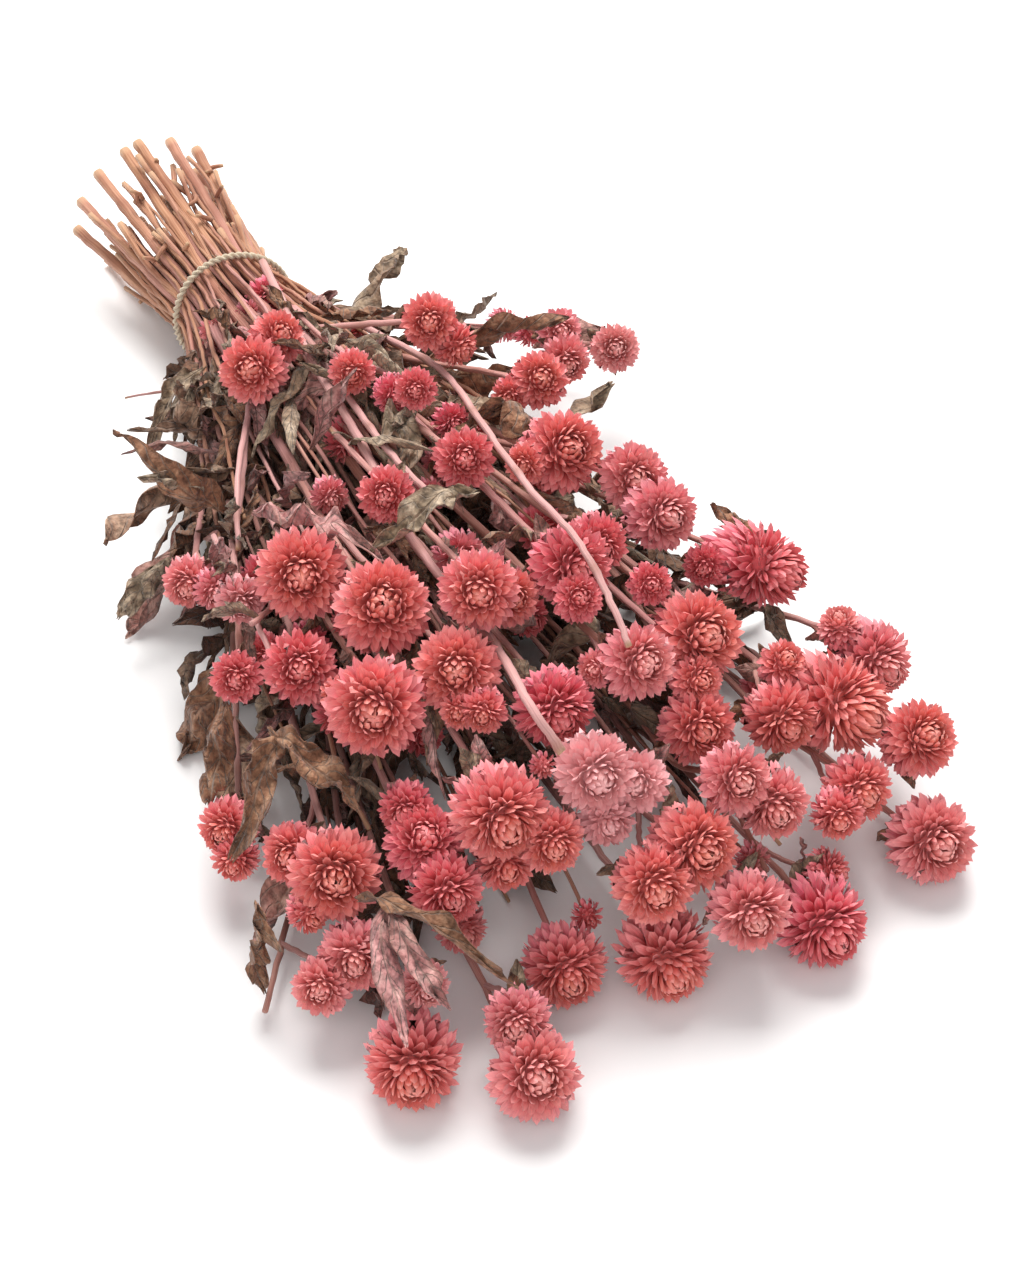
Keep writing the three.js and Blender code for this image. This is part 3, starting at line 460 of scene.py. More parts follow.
def add_bracts(piece, head, dice, pale):
    size = head.width / mm
    count = round(np.interp(size, BLOOM_WIDTHS, BRACT_COUNTS))
    step = np.arange(count)
    lowest = math.sin(FIRST_BRACT)
    up = 1 - (1 - (step + 0.5) / count) ** TOWARDS_TIP
    height = np.arcsin(lowest + (LAST_BRACT - lowest) * up)
    rise = (height - height[0]) / (height[-1] - height[0])
    turn = step * GOLDEN + dice.uniform(-0.10, 0.10, count) + dice.uniform(0, 6.28)

    def by_rise(levels):
        return np.interp(rise, BLOOM_LEVELS, levels)

    lean = np.radians(by_rise(BRACT_LEAN)) * dice.uniform(0.8, 1.2, count)
    lean = lean + np.radians(dice.normal(0, 4, count) * by_rise((1, 1, 1, 0.6, 0.2, 0.2)))
    tip_share = by_rise(BRACT_TIP) * dice.uniform(0.93, 1.05, count)
    hump_share = by_rise(BRACT_HUMP) * dice.uniform(0.97, 1.03, count)
    foot = np.maximum(height - lean, math.radians(-84))
    height = height + np.radians(by_rise(BRACT_PUSH))
    root = on_head(head, foot, turn + dice.uniform(-0.06, 0.06, count), by_rise(BRACT_FOOT))
    middle = on_head(head, foot + (height - foot) * by_rise(HUMP_PLACE), turn, hump_share)
    tip = on_head(head, height, turn + dice.uniform(-0.09, 0.09, count), tip_share)
    wide = head.width * by_rise(BRACT_WIDTH)
    wide = wide * dice.uniform(0.85, 1.15, count) * np.interp(size, BROADER_AT, BROADER)
    wide = wide[:, None, None]
    chance = dice.uniform(0, 1, count)
    # Every bract is bent from its root over the hump to its tip, with its keel outwards
    along = BRACT[:, 2][None, :, None]
    root, middle, tip = root[:, None], middle[:, None], tip[:, None]
    line = (1 - along) ** 2 * root + 2 * along * (1 - along) * middle + along ** 2 * tip
    ahead = unit((1 - along) * (middle - root) + along * (tip - middle))
    from_axis = tip - head.middle
    from_axis = unit(from_axis - (from_axis @ head.axis)[..., None] * head.axis)
    outward = unit(from_axis + np.interp(rise, (0.4, 0.85), (-0.8, 1.2))[:, None, None] * head.axis)
    back = unit(outward - (outward * ahead).sum(-1, keepdims=True) * ahead)
    side = np.cross(back, ahead)
    twist = dice.uniform(-0.5, 0.5, count)[:, None, None]
    side, back = np.cos(twist) * side + np.sin(twist) * back, np.cos(twist) * back - np.sin(twist) * side
    corners = line + BRACT[:, 0][None, :, None] * wide * side + BRACT[:, 1][None, :, None] * wide * back
    shape = (count, len(BRACT))
    tone = dice.uniform(0, 1)
    faces = [tuple(k * len(BRACT) + corner for corner in face) for k in range(count) for face in BRACT_FACES]
    grain = painted(shape, BRACT[:, 0] * 2, BRACT[:, 2], chance[:, None])
    piece.add(corners.reshape(-1, 3), faces, grain=grain, bloom=painted(shape, rise[:, None], tone, pale))
    # The heart is painted as a quarter of the way up a bract, so it takes part of the painted shade
    ball_size = (head.width / 2, head.width / 2, head.length / 2)
    heart = head.middle + HEART_SIZE * (HEART * ball_size) @ np.array([*side_frame(head.axis), head.axis])
    spot = np.zeros((len(HEART), 3))
    piece.add(heart, HEART_FACES, grain=spot + (0, 0.25, 0), bloom=spot + (0.5, tone, pale))


slots = {part["node"]: part["material_slot"] for part in frame["record"]["subparts"]}
bract_finishes = {slot: bract_finish(slot) for slot in BLOOM_COLOURS}
FADED_HEAD = "head_06_4"
FADED = 0.55
for number, (name, group) in enumerate(heads.items()):
    dice = np.random.default_rng(700 + number)
    bloom = Piece()
    for head in group:
        add_bracts(bloom, head, dice, FADED if name == FADED_HEAD else 0.0)
    bloom.made("bracts" + name[4:], bract_finishes[slots[name]], slots[name], [name], crease=BRACT_CREASE)


# Stems: thirteen flowering stems and their partners, dried, five ribs each, cut off square behind the tie.
# They run straight through the cord and fan out, and their joints are a little swollen.
RING_SLACK = 5e-6
CORNER_SLACK = 0.004
SAME_RING = 2.5e-5
RING_EDGES = (0.8 * mm, 4.2 * mm)
LONGEST_STEP = 45 * mm
LONGEST_JOINT = 90 * mm
FORK_REACH = 20 * mm
USUAL_STEP = 0.027
STRAIGHT = 0.9


def whole_rings(points, beside, kinds=(5, 4)):
    # Every stem in the CAD model is a row of five-cornered rings, and every branch of four-cornered ones
    rings = []
    for corner, near in enumerate(beside):
        near = sorted(near)
        spokes = points[near] - points[corner]
        reach = np.linalg.norm(spokes, axis=1)
        for i, j in combinations(range(len(near)), 2):
            if abs(reach[i] - reach[j]) > RING_SLACK or not RING_EDGES[0] < reach[i] < RING_EDGES[1]:
                continue
            bend = spokes[i] @ spokes[j] / reach[i] / reach[j]
            for sides in kinds:
                if abs(bend - math.cos(math.pi * (1 - 2 / sides))) > CORNER_SLACK:
                    continue
                radius = reach[i] / 2 / math.sin(math.pi / sides)
                centre = points[corner] + unit(spokes[i] + spokes[j]) * radius
                for ring in rings:
                    if ring["sides"] == sides and np.linalg.norm(ring["centre"] - centre) < SAME_RING:
                        ring["corners"].add(corner)
                        break
                else:
                    rings.append({"sides": sides, "centre": centre, "radius": radius, "corners": {corner},
                                  "facing": unit(np.cross(spokes[i], spokes[j]))})
    return [ring for ring in rings if len(ring["corners"]) >= 4]


class Run:
    """A stretch of one stem: the middles of its rings, their radii, and whether its ends are closed."""

    def __init__(self, rings, beside):
        self.sides = rings[0]["sides"]
        self.points = [ring["centre"] for ring in rings]
        self.radii = [ring["radius"] for ring in rings]
        self.facing = rings[0]["facing"]
        self.closed = [self.capped(rings[0], beside), self.capped(rings[-1], beside)]

    def capped(self, ring, beside):
        joined = sum(1 for a, b in combinations(sorted(ring["corners"]), 2) if b in beside[a])
        return joined > self.sides

    def turned(self):
        self.points.reverse()
        self.radii.reverse()
        self.closed.reverse()

    def leaving(self, end):
        if len(self.points) == 1:
            return self.facing if end else -self.facing
        tip, before = (self.points[-1], self.points[-2]) if end else (self.points[0], self.points[1])
        return unit(tip - before)


def runs_of(name):
    points, beside = welded(name)
    rings = whole_rings(points, beside)
    beyond = {i: [] for i in range(len(rings))}
    for i, j in combinations(range(len(rings)), 2):
        if rings[i]["sides"] != rings[j]["sides"]:
            continue
        joined = any(near in rings[j]["corners"] for corner in rings[i]["corners"] for near in beside[corner])
        if joined and np.linalg.norm(rings[i]["centre"] - rings[j]["centre"]) < LONGEST_STEP:
            beyond[i].append(j)
            beyond[j].append(i)
    runs, used = [], set()
    for first in sorted(beyond, key=lambda i: len(beyond[i])):
        if first in used:
            continue
        row = [first]
        used.add(first)
        while True:
            ahead = [i for i in beyond[row[-1]] if i not in used]
            if not ahead:
                break
            row.append(ahead[0])
            used.add(ahead[0])
        runs.append(Run([rings[i] for i in row], beside))
    return rejoined(runs)


def rejoined(runs):
    # Where a branch leaves, the stem's own ring is lost in the joint: facing ends are joined up again
    while True:
        best = None
        for a, b in combinations(range(len(runs)), 2):
            if runs[a].sides != runs[b].sides:
                continue
            for end_a in (0, 1):
                for end_b in (0, 1):
                    if runs[a].closed[-end_a] or runs[b].closed[-end_b]:
                        continue
                    gap = runs[b].points[-end_b] - runs[a].points[-end_a]
                    reach = np.linalg.norm(gap)
                    straight = min(runs[a].leaving(end_a) @ gap, -runs[b].leaving(end_b) @ gap) / reach
                    if reach < LONGEST_JOINT and straight > (best[0] if best else STRAIGHT):
                        best = (straight, a, end_a, b, end_b)
        if best is None:
            break
        _, a, end_a, b, end_b = best
        if end_a == 0:
            runs[a].turned()
        if end_b == 1:
            runs[b].turned()
        reach = np.linalg.norm(runs[b].points[0] - runs[a].points[-1])
        middle = (runs[a].points[-1] + runs[a].leaving(1) * reach / 2
                  + runs[b].points[0] + runs[b].leaving(0) * reach / 2) / 2
        runs[a].points += [middle] + runs[b].points
        runs[a].radii += [(runs[a].radii[-1] + runs[b].radii[0]) / 2] + runs[b].radii
        runs[a].closed[1] = runs[b].closed[1]
        del runs[b]
    for run in runs:
        for end in (0, 1):
            if run.closed[-end]:
                continue
            before = run.points[(-2 if end else 1)] if len(run.points) > 1 else None
            step = USUAL_STEP if before is None else np.linalg.norm(run.points[-end] - before)
            onward = run.points[-end] + run.leaving(end) * step
            others = [point for other in runs if other is not run for point in other.points]
            fork = min(others, key=lambda point: np.linalg.norm(point - onward))
            if np.linalg.norm(fork - onward) > FORK_REACH:
                continue
            place = len(run.points) if end else 0
            run.points.insert(place, fork)
            run.radii.insert(place, run.radii[-end])
    for run in runs:
        if run.points[0][0] > run.points[-1][0]:
            run.turned()
    return runs


def curve_through(values, steps):
    """A smooth curve through rows of numbers, with so many steps from each to the next."""
    values = np.asarray(values, dtype=float)
    if values.ndim == 1:
        return curve_through(values[:, None], steps)[:, 0]
    padded = np.concatenate([[2 * values[0] - values[1]], values, [2 * values[-1] - values[-2]]])
    share = np.linspace(0, 1, steps, endpoint=False)[:, None]
    rows = []
    for before, here, there, after in zip(padded, padded[1:], padded[2:], padded[3:]):
        rows.append(here + 0.5 * share * (there - before + share * (
            2 * before - 5 * here + 4 * there - after + share * (3 * (here - there) + after - before))))
    return np.concatenate(rows + [values[-1:]])


def frames_along(path):
    ahead = unit(np.gradient(path, axis=0))
    side = side_frame(ahead[0])[0]
    sides = []
    for way in ahead:
        side = unit(side - (side @ way) * way)
        sides.append(side)
    sides = np.array(sides)
    return ahead, sides, np.cross(ahead, sides)


GRAIN_LENGTH = 0.02


def tube(path, radii, outline):
    """A closed tube of this outline along a path, what is painted on it, and how far along its rings are."""
    ahead, first, second = frames_along(path)
    turns = np.linspace(0, 2 * math.pi, len(outline), endpoint=False)
    out = outline[None, :] * radii[:, None]
    rings = path[:, None] + (out * np.cos(turns))[:, :, None] * first[:, None] + (
        out * np.sin(turns))[:, :, None] * second[:, None]
    count, sides = len(path), len(outline)
    edges = [(k, (k + 1) % sides) for k in range(sides)]
    rows = range(0, (count - 1) * sides, sides)
    faces = [(row + a, row + b, row + sides + b, row + sides + a) for row in rows for a, b in edges]
    bottom, top, last = count * sides, count * sides + 1, (count - 1) * sides
    faces += [(bottom, b, a) for a, b in edges] + [(top, last + a, last + b) for a, b in edges]
    corners = np.concatenate([rings.reshape(-1, 3), path[:1], path[-1:]])
    reach = np.concatenate([[0], np.cumsum(np.linalg.norm(np.diff(path, axis=0), axis=1))])
    around = painted((count, sides), np.cos(turns), np.sin(turns), reach[:, None] / GRAIN_LENGTH)
    around = np.concatenate([around, [(0, 0, 0), (0, 0, reach[-1] / GRAIN_LENGTH)]])
    return corners, faces, around, reach


FIBRE_PLACES = (0.30, 0.5, 0.72)
MAUVE_STEM = ((0.33, 0.10, 0.10), (0.60, 0.25, 0.24), (0.78, 0.44, 0.40))
STRAW_STEM = ((0.24, 0.095, 0.05), (0.47, 0.22, 0.12), (0.66, 0.40, 0.25))


def stem_finish():
    finish, tree, shader = new_finish("dry_stem", 0.62, 0.25, 0.1)
    grain = attribute(tree, "grain")[0]
    _, tan, joint, cut = attribute(tree, "stem")
    _, light, painted_shade, _ = attribute(tree, "tone")
    fibre = noise(tree, 2.2, 4.0, grain, (2.4, 2.4, 0.35))
    blotch = ramped(tree, noise(tree, 45.0, 3.0), (0.46, grey(0)), (0.66, grey(0.6)))
    mauve, straw = (ramped(tree, fibre, *zip(FIBRE_PLACES, tones)) for tones in (MAUVE_STEM, STRAW_STEM))
    spotted = mixed(tree, blotch, mixed(tree, tan, mauve, straw), (0.26, 0.085, 0.05, 1))
    pink = mixed(tree, fibre, (0.60, 0.30, 0.30, 1), (0.86, 0.56, 0.52, 1))
    lit = mixed(tree, light, spotted, pink)
    knotted = mixed(tree, times(tree, joint, 0.55), lit, (0.30, 0.12, 0.07, 1))
    ended = mixed(tree, cut, knotted, (0.60, 0.37, 0.22, 1))
    # Painted shade: darker where a stem runs low under the others between the tie and the blooms
    with_painted_shade = mixed(tree, times(tree, painted_shade, 0.8), ended, (0.10, 0.042, 0.03, 1))
    finished(tree, shader, with_painted_shade, fibre, 0.5, 0.5 * mm)
    return finish


RIBBED = np.array([1.0, 0.90] * 5)
ROUND = np.ones(5)
TIE_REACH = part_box("tie")
tie_middle = np.array((TIE_REACH[0] + TIE_REACH[1]) / 2)
JOINT_LENGTH = 2.6 * mm
JOINT_SWELL = 0.22
CUT_SWELL = 1.12
WAVER = 0.12 * mm


def add_stem(piece, points, radii, dice, tan, outline=RIBBED, steps=6, cut=(False, False), pale=None):
    path = curve_through(points, steps)
    thick = curve_through(radii, steps)
    path[1:-1] += dice.normal(0, WAVER, (len(path) - 2, 3))
    reach = np.concatenate([[0], np.cumsum(np.linalg.norm(np.diff(path, axis=0), axis=1))])
    joints = np.arange(dice.uniform(0.02, 0.05), reach[-1], dice.uniform(0.05, 0.07))
    near = np.exp(-((reach[:, None] - joints) / JOINT_LENGTH) ** 2).sum(1)
    thick = thick * (1 + JOINT_SWELL * near + 0.03 * np.sin(reach / (4 * mm)))
    if cut[0]:
        thick[0] *= CUT_SWELL
    corners, faces, around, _ = tube(path, thick, outline)
    # Straw towards the cut ends, mauve or pink beyond the tie, and painted shade: darker where it runs low
    # under the others between the tie and the blooms
    back = np.clip((tie_middle[0] + 0.03 - path[:, 0]) / 0.07, 0, 1)
    hue = np.clip(tan + (0.7 + 0.5 * dice.uniform()) * back, 0, 1)
    ends = np.zeros(len(path))
    ends[0] = 0.9 * cut[0]
    ends[-1] = 0.9 * cut[1]
    light = (dice.uniform(0, 0.6) if pale is None else pale) * (1 - 0.9 * hue)
    painted_shade = np.clip((0.04 - path[:, 2]) / 0.035, 0, 1) * np.clip((path[:, 0] - tie_middle[0]) / 0.03, 0, 1)
    painted_shade = painted_shade * np.clip((0.16 - path[:, 0]) / 0.05, 0, 1)
    values = np.stack([hue, near.clip(0, 1), ends], -1).repeat(len(outline), axis=0)
    values = np.concatenate([values, [(hue[0], 0, cut[0]), (hue[-1], 0, cut[1])]])
    tone = np.stack([light, painted_shade, 0 * painted_shade], -1)
    tone = np.concatenate([tone.repeat(len(outline), axis=0), tone[[0, -1]]])
    around = around + (dice.uniform(0, 30), 0, dice.uniform(0, 30))
    piece.add(corners, faces, grain=around, stem=values, tone=tone)
    return path, reach


STALK_SHARE = 0.93
AT_BLOOM = 4 * mm
stem_look = stem_finish()
stem_nodes = sorted(name for name in frame["nodes"] if name.startswith("stem"))
grown = []
for number, name in enumerate(stem_nodes):
    dice = np.random.default_rng(1200 + number)
    stalks = Piece()
    for run in runs_of(name):
        behind = run.points[0][0] < tie_middle[0]
        radii = [radius * STALK_SHARE for radius in run.radii]
        points = list(run.points)
        nearest = min(all_heads, key=lambda head: np.linalg.norm(head.base - points[-1]))
        if np.linalg.norm(nearest.base - points[-1]) < AT_BLOOM:
            points.append(nearest.base + nearest.axis * 2 * mm)
            radii.append(radii[-1])
        path, reach = add_stem(stalks, points, radii, dice, dice.uniform(0.0, 0.55), cut=(behind, False))
        grown.append({"node": name, "path": path, "reach": reach, "main": behind})
    stalks.made("stalks" + name[4:], stem_look, "dry_stem", [name])

# Side stalks: each smaller bloom beside a main one stands on a thin stalk of its own, that leaves the
# stem a little way back. They are too thin for the CAD model.
STALKLET_GAP = 6 * mm
STALKLET_LENGTH = 0.02
STALKLET_RADII = np.array([1.0, 0.85, 0.8, 0.8]) * mm
for number, name in enumerate(heads):
    dice = np.random.default_rng(2300 + number)
    carried = [one for one in grown if one["node"][-2:] == name[5:7]]
    thin = Piece()
    for head in heads[name]:
        ends = min(np.linalg.norm(one["path"][-1] - head.base) for one in carried)
        if ends < STALKLET_GAP:
            continue
        everywhere = np.concatenate([one["path"] for one in carried])
        wanted = head.base - STALKLET_LENGTH * unit(head.axis + (0.8, 0, 0.0))
        start = everywhere[np.linalg.norm(everywhere - wanted, axis=1).argmin()]
        knee = (start + head.base) / 2 + (head.base - start) * 0.1 - head.axis * 3 * mm
        points = [start, knee, head.base - head.axis * 1.5 * mm, head.base + head.axis * 2 * mm]
        add_stem(thin, points, STALKLET_RADII, dice, dice.uniform(0, 0.4), ROUND)
    if thin.count:
        thin.made("stalklets" + name[4:], stem_look, "dry_stem")


# Thin stems: weaker stems and side twigs, gathered in the same tie. They lie among the flowering ones and
# end in a young bloom, or in nothing. Some stand at the rim, so the cord presses on them all round.
LOOP_ROOM = 18.5 * mm
RIM_ROOM = 20.6 * mm
TWIGS_EACH = 4
RIM_STEMS = 34
LOW_STEMS = 46
STUBS = 44
STUB_RADII = np.array([1.1, 0.9, 0.7]) * mm
BUD_AHEAD = 7 * mm
BUD_ROOM = 3.8 * mm
BLOOM_GAP = 2 * mm
INNER_BOX = np.array(cad_box) + ((0.002, 0.002, 0.0005), (-0.002, -0.002, -0.001))
dice = np.random.default_rng(77)
twigs = Piece()
spare = []
young = {slot: Piece() for slot in ("bloom_crimson", "bloom_rose")}
young_heads = []


def room_for(middle, least):
    """How far a young bloom can reach from here before it touches anything, or 0 where that's too little."""
    gaps = [np.linalg.norm(bloom.middle - middle) - bloom.reach for bloom in all_heads + young_heads]
    room = min(gaps + [middle[2]])
    inside = (middle > INNER_BOX[0] + room).all() and (middle < INNER_BOX[1] - room).all()
    return room if room > least and inside else 0


def in_blooms(points, blooms, gap):
    """Which of these points are in a bloom, or less than this gap off one."""
    middles = np.array([bloom.middle for bloom in blooms])
    reaches = np.array([bloom.reach for bloom in blooms])
    return (np.linalg.norm(points[:, None] - middles, axis=2) < reaches + gap).any(1)


def add_twig(points, radii, tan, steps=6, cut=(True, True)):
    path, reach = add_stem(twigs, points, radii, dice, tan, ROUND, steps, cut)
    spare.append({"path": path, "reach": reach})


for path in [one["path"] for one in grown if one["main"]]:
    for _ in range(TWIGS_EACH):
        first = int(np.argmin(np.abs(path[:, 0] - (tie_middle[0] - dice.uniform(0.02, 0.07)))))
        last = int(first + (len(path) - first) * dice.uniform(0.5, 0.98))
        keep = path[first:last:5]
        if len(keep) < 4:
            continue
        # It runs beside its stem, further off the further it goes, and all are pressed together in the tie
        aside = dice.normal(0, 1, 3) * (0.2, 1, 1) + (0, 0, 0.4)
        aside = unit(aside) * dice.uniform(3.5, 6.5) * mm
        sway = 1 + 3.2 * np.clip((keep[:, :1] - tie_middle[0]) / 0.25, 0, 1) * dice.uniform(0.3, 1.0)
        keep = keep + aside * sway + dice.normal(0, 0.8 * mm, keep.shape)
        in_loop = keep[:, 1:] - tie_middle[1:]
        away = np.linalg.norm(in_loop, axis=1)
        near_tie = np.exp(-((keep[:, 0] - tie_middle[0]) / 0.03) ** 2)
        squeeze = 1 - near_tie * np.clip(1 - LOOP_ROOM / np.maximum(away, 1e-6), 0, 1)
        keep[:, 1:] = tie_middle[1:] + in_loop * squeeze[:, None]
        radius = dice.uniform(0.75, 1.35) * mm
        inside = in_blooms(keep, all_heads, BLOOM_GAP) & (keep[:, 0] > tie_middle[0] + 0.03)
        if inside.any():
            keep = keep[:inside.argmax()]
        if len(keep) < 4:
            continue
        crooked = np.clip((tie_middle[0] - 0.012 - keep[:, :1]) / 0.02, 0, 1)
        keep[:, 1:] += dice.normal(0, 2.6 * mm, (len(keep), 2)) * crooked
        keep[:, 2] = np.maximum(keep[:, 2], radius + 0.3 * mm)
        radii = np.linspace(radius, radius * 0.6, len(keep))
        axis = unit(keep[-1] - keep[-2])
        middle = keep[-1] + axis * BUD_AHEAD
        room = room_for(middle, BUD_ROOM)
        if room:
            width = min(2 * room, dice.uniform(10, 15) * mm)
            length = width * dice.uniform(1.0, 1.15)
            bud = Head(middle + axis * APEX * length / 2, axis, width, length)
            young_heads.append(bud)
            add_bracts(young[dice.choice(list(young))], bud, dice, 0.0)
            keep = np.concatenate([keep, [bud.base + axis * mm]])
            radii = np.append(radii, radii[-1])
        add_twig(keep, radii, dice.uniform(0.0, 1.0), 3, (True, not room))

for turn in np.linspace(0, 2 * math.pi, RIM_STEMS, endpoint=False) + dice.uniform(-0.05, 0.05, RIM_STEMS):
    radius = dice.uniform(0.6, 0.85) * mm
    hole = np.array([math.cos(turn), math.sin(turn)]) * (RIM_ROOM - radius)
    back, ahead = dice.uniform(0.02, 0.065), dice.uniform(0.05, 0.14)
    along = np.linspace(-back, ahead, 9)
    spread = 1 + np.where(along < 0, -along * 4.5, along * 16)
    points = np.stack([tie_middle[0] + along, tie_middle[1] + hole[0] * spread,
                       tie_middle[2] + hole[1] * (1 + np.abs(along) * 4) + 0.03 * along], -1)
    points[:, 1:] += dice.normal(0, 0.5 * mm, (9, 2)) * (np.abs(along) > 0.012)[:, None]
    points[:, 2] = np.maximum(points[:, 2], radius + 0.5 * mm)
    add_twig(points, np.full(9, radius), dice.uniform(0.2, 1.0))

# The lowest ones run just above the table under the blooms, and carry the most painted shade, so they are the
# darkest
for _ in range(LOW_STEMS):
    end = np.array([dice.uniform(0.03, 0.15), dice.uniform(-0.075, 0.085), dice.uniform(0.004, 0.034)])
    start = tie_middle + (-dice.uniform(0.01, 0.03), dice.uniform(-0.014, 0.014), dice.uniform(-0.012, 0.0))
    share = np.linspace(0, 1, 9)[:, None]
    keep = start + (end - start) * share + dice.normal(0, 1.6 * mm, (9, 3)) * np.sin(share * math.pi)
    keep[:, 1] += dice.uniform(-12, 12) * mm * np.sin(share[:, 0] * math.pi)
    radius = dice.uniform(0.8, 1.4) * mm
    keep[:, 2] = np.maximum(keep[:, 2], radius + 0.3 * mm)
    inside = in_blooms(keep[3:], all_heads, BLOOM_GAP)
    if inside.any():
        keep = keep[:3 + inside.argmax()]
    if len(keep) >= 4:
        add_twig(keep, np.linspace(radius, radius * 0.6, len(keep)), dice.uniform(0.2, 1), 3)

# Bare stems on top, and a bristle: radius, then points in millimetres. They stand out pale and pink.
TOP_STEMS = (
    (1.6, ((-133, 12, 44), (-60, -3, 58), (-10, -9, 62), (39, -17, 65), (74, -17, 64), (108, -19, 69),
           (139, -26, 78), (153, -23, 70))),
    (1.3, ((-97, 7, 46), (-39, -2, 60), (8, -7, 68), (40, -7, 72))),
    (1.25, ((-80, 26, 46), (-28, 31, 60), (19, 22, 74), (68, 12, 89), (98, 12, 91), (118, 11, 86),
            (134, 9, 80))),
    (1.0, ((-6, -62, 42), (43, -70, 54), (74, -73, 52))),
    (1.2, ((-117, 4, 40), (-67, -22, 46), (-16, -48, 46), (-1, -58, 40))),
    (1.1, ((-80, -14, 40), (-21, -46, 52), (10, -60, 48))),
    (0.5, ((-90, -26, 34), (-95, -32, 30), (-110, -53, 22))),
)
for radius, points in TOP_STEMS:
    radii = np.linspace(radius, radius * 0.85, len(points)) * mm
    add_stem(twigs, np.array(points) * mm, radii, dice, 0.0, RIBBED, 10, (False, True), pale=0.62)

# Behind the tie the broken feet of side twigs are left on the stems
behind = [point for one in grown + spare for point in one["path"] if point[0] < tie_middle[0] - 0.014]
for _ in range(STUBS):
    foot = behind[dice.integers(len(behind))]
    way = unit(dice.normal(0, 1, 3) * (0.3, 1, 1) + (0.5, 0, 0.3))
    reach = dice.uniform(4, 9) * mm
    points = [foot, foot + way * reach * 0.5, foot + unit(way + dice.normal(0, 0.3, 3)) * reach]
    if min(point[2] for point in points) > 1.2 * mm:
        add_stem(twigs, points, STUB_RADII, dice, 1.0, ROUND, 2, (False, True))
twigs.made("thin_stems", stem_look, "dry_stem")
for slot, piece in young.items():
    piece.made("young_" + slot, bract_finishes[slot], slot, crease=BRACT_CREASE)


# Leaves: long narrow leaves that grow at the joints, dried on the stem until they are thin, veined and
# crumpled, with rolled edges. Some kept a grey green, most went brown, and some went pink.
TONE_PLACES = (0.32, 0.5, 0.68)
GREEN_LEAF = ((0.17, 0.125, 0.085), (0.38, 0.30, 0.21), (0.62, 0.52, 0.40))
BROWN_LEAF = ((0.13, 0.052, 0.03), (0.32, 0.15, 0.085), (0.58, 0.33, 0.20))
PINK_LEAF = ((0.40, 0.14, 0.15), (0.68, 0.31, 0.32), (0.86, 0.52, 0.50))


def leaf_finish():
    finish, tree, shader = new_finish("dry_leaf", 0.78, 0.15, 0.2)
    _, across, along, _ = attribute(tree, "grain")
    _, pink, brown, darkness_and_painted_shade = attribute(tree, "leaf")
    mottle = noise(tree, 160.0, 5.0, roughness=0.65)
    crinkle = noise(tree, 420.0, 2.0)
    greens, browns, pinks = (ramped(tree, mottle, *zip(TONE_PLACES, tones))
                             for tones in (GREEN_LEAF, BROWN_LEAF, PINK_LEAF))
    flushed = mixed(tree, pink, mixed(tree, brown, greens, browns), pinks)
    patch = ramped(tree, noise(tree, 38.0, 2.0), (0.45, grey(0)), (0.65, grey(0.5)))
    uneven = mixed(tree, patch, flushed, (0.20, 0.10, 0.06, 1))
    # Side veins slant forward from the rib, and the rib itself stands pale
    outward = calculated(tree, "ABSOLUTE", across)
    slant = calculated(tree, "SUBTRACT", times(tree, along, 9.0), times(tree, outward, 1.6))
    wave = calculated(tree, "FRACT", slant)
    vein = ramped(tree, wave, (0.0, grey(1)), (0.09, grey(0)), (0.92, grey(0)), (1.0, grey(1)))
    rib = ramped(tree, outward, (0.0, grey(1)), (0.10, grey(0)))
    lines = mixed(tree, 1.0, vein, rib, "LIGHTEN")
    veined = mixed(tree, times(tree, lines, 0.35), uneven, (0.62, 0.44, 0.33, 1))
    edge = ramped(tree, outward, (0.75, grey(0)), (1.0, grey(0.45)))
    # A leaf's own darkness, and the painted shade on low leaves, both draw it towards near black
    shaded = mixed(tree, darkness_and_painted_shade, mixed(tree, edge, veined, (0.15, 0.06, 0.035, 1)), (0.07, 0.035, 0.022, 1))
    # Painted shade in the hollows of the crinkle and painted light on its ridges, from the same noise that
    # bumps the leaf
    painted_crease_shading = ramped(tree, crinkle, (0.36, grey(0.55)), (0.5, grey(1.0)), (0.66, grey(1.25)))
    relief = calculated(tree, "ADD", times(tree, lines, -0.4), crinkle)
    finished(tree, shader, tinted(tree, shaded, painted_crease_shading), relief, 1.0, 1.4 * mm)
    return finish


HALF_SKIN = 0.13 * mm


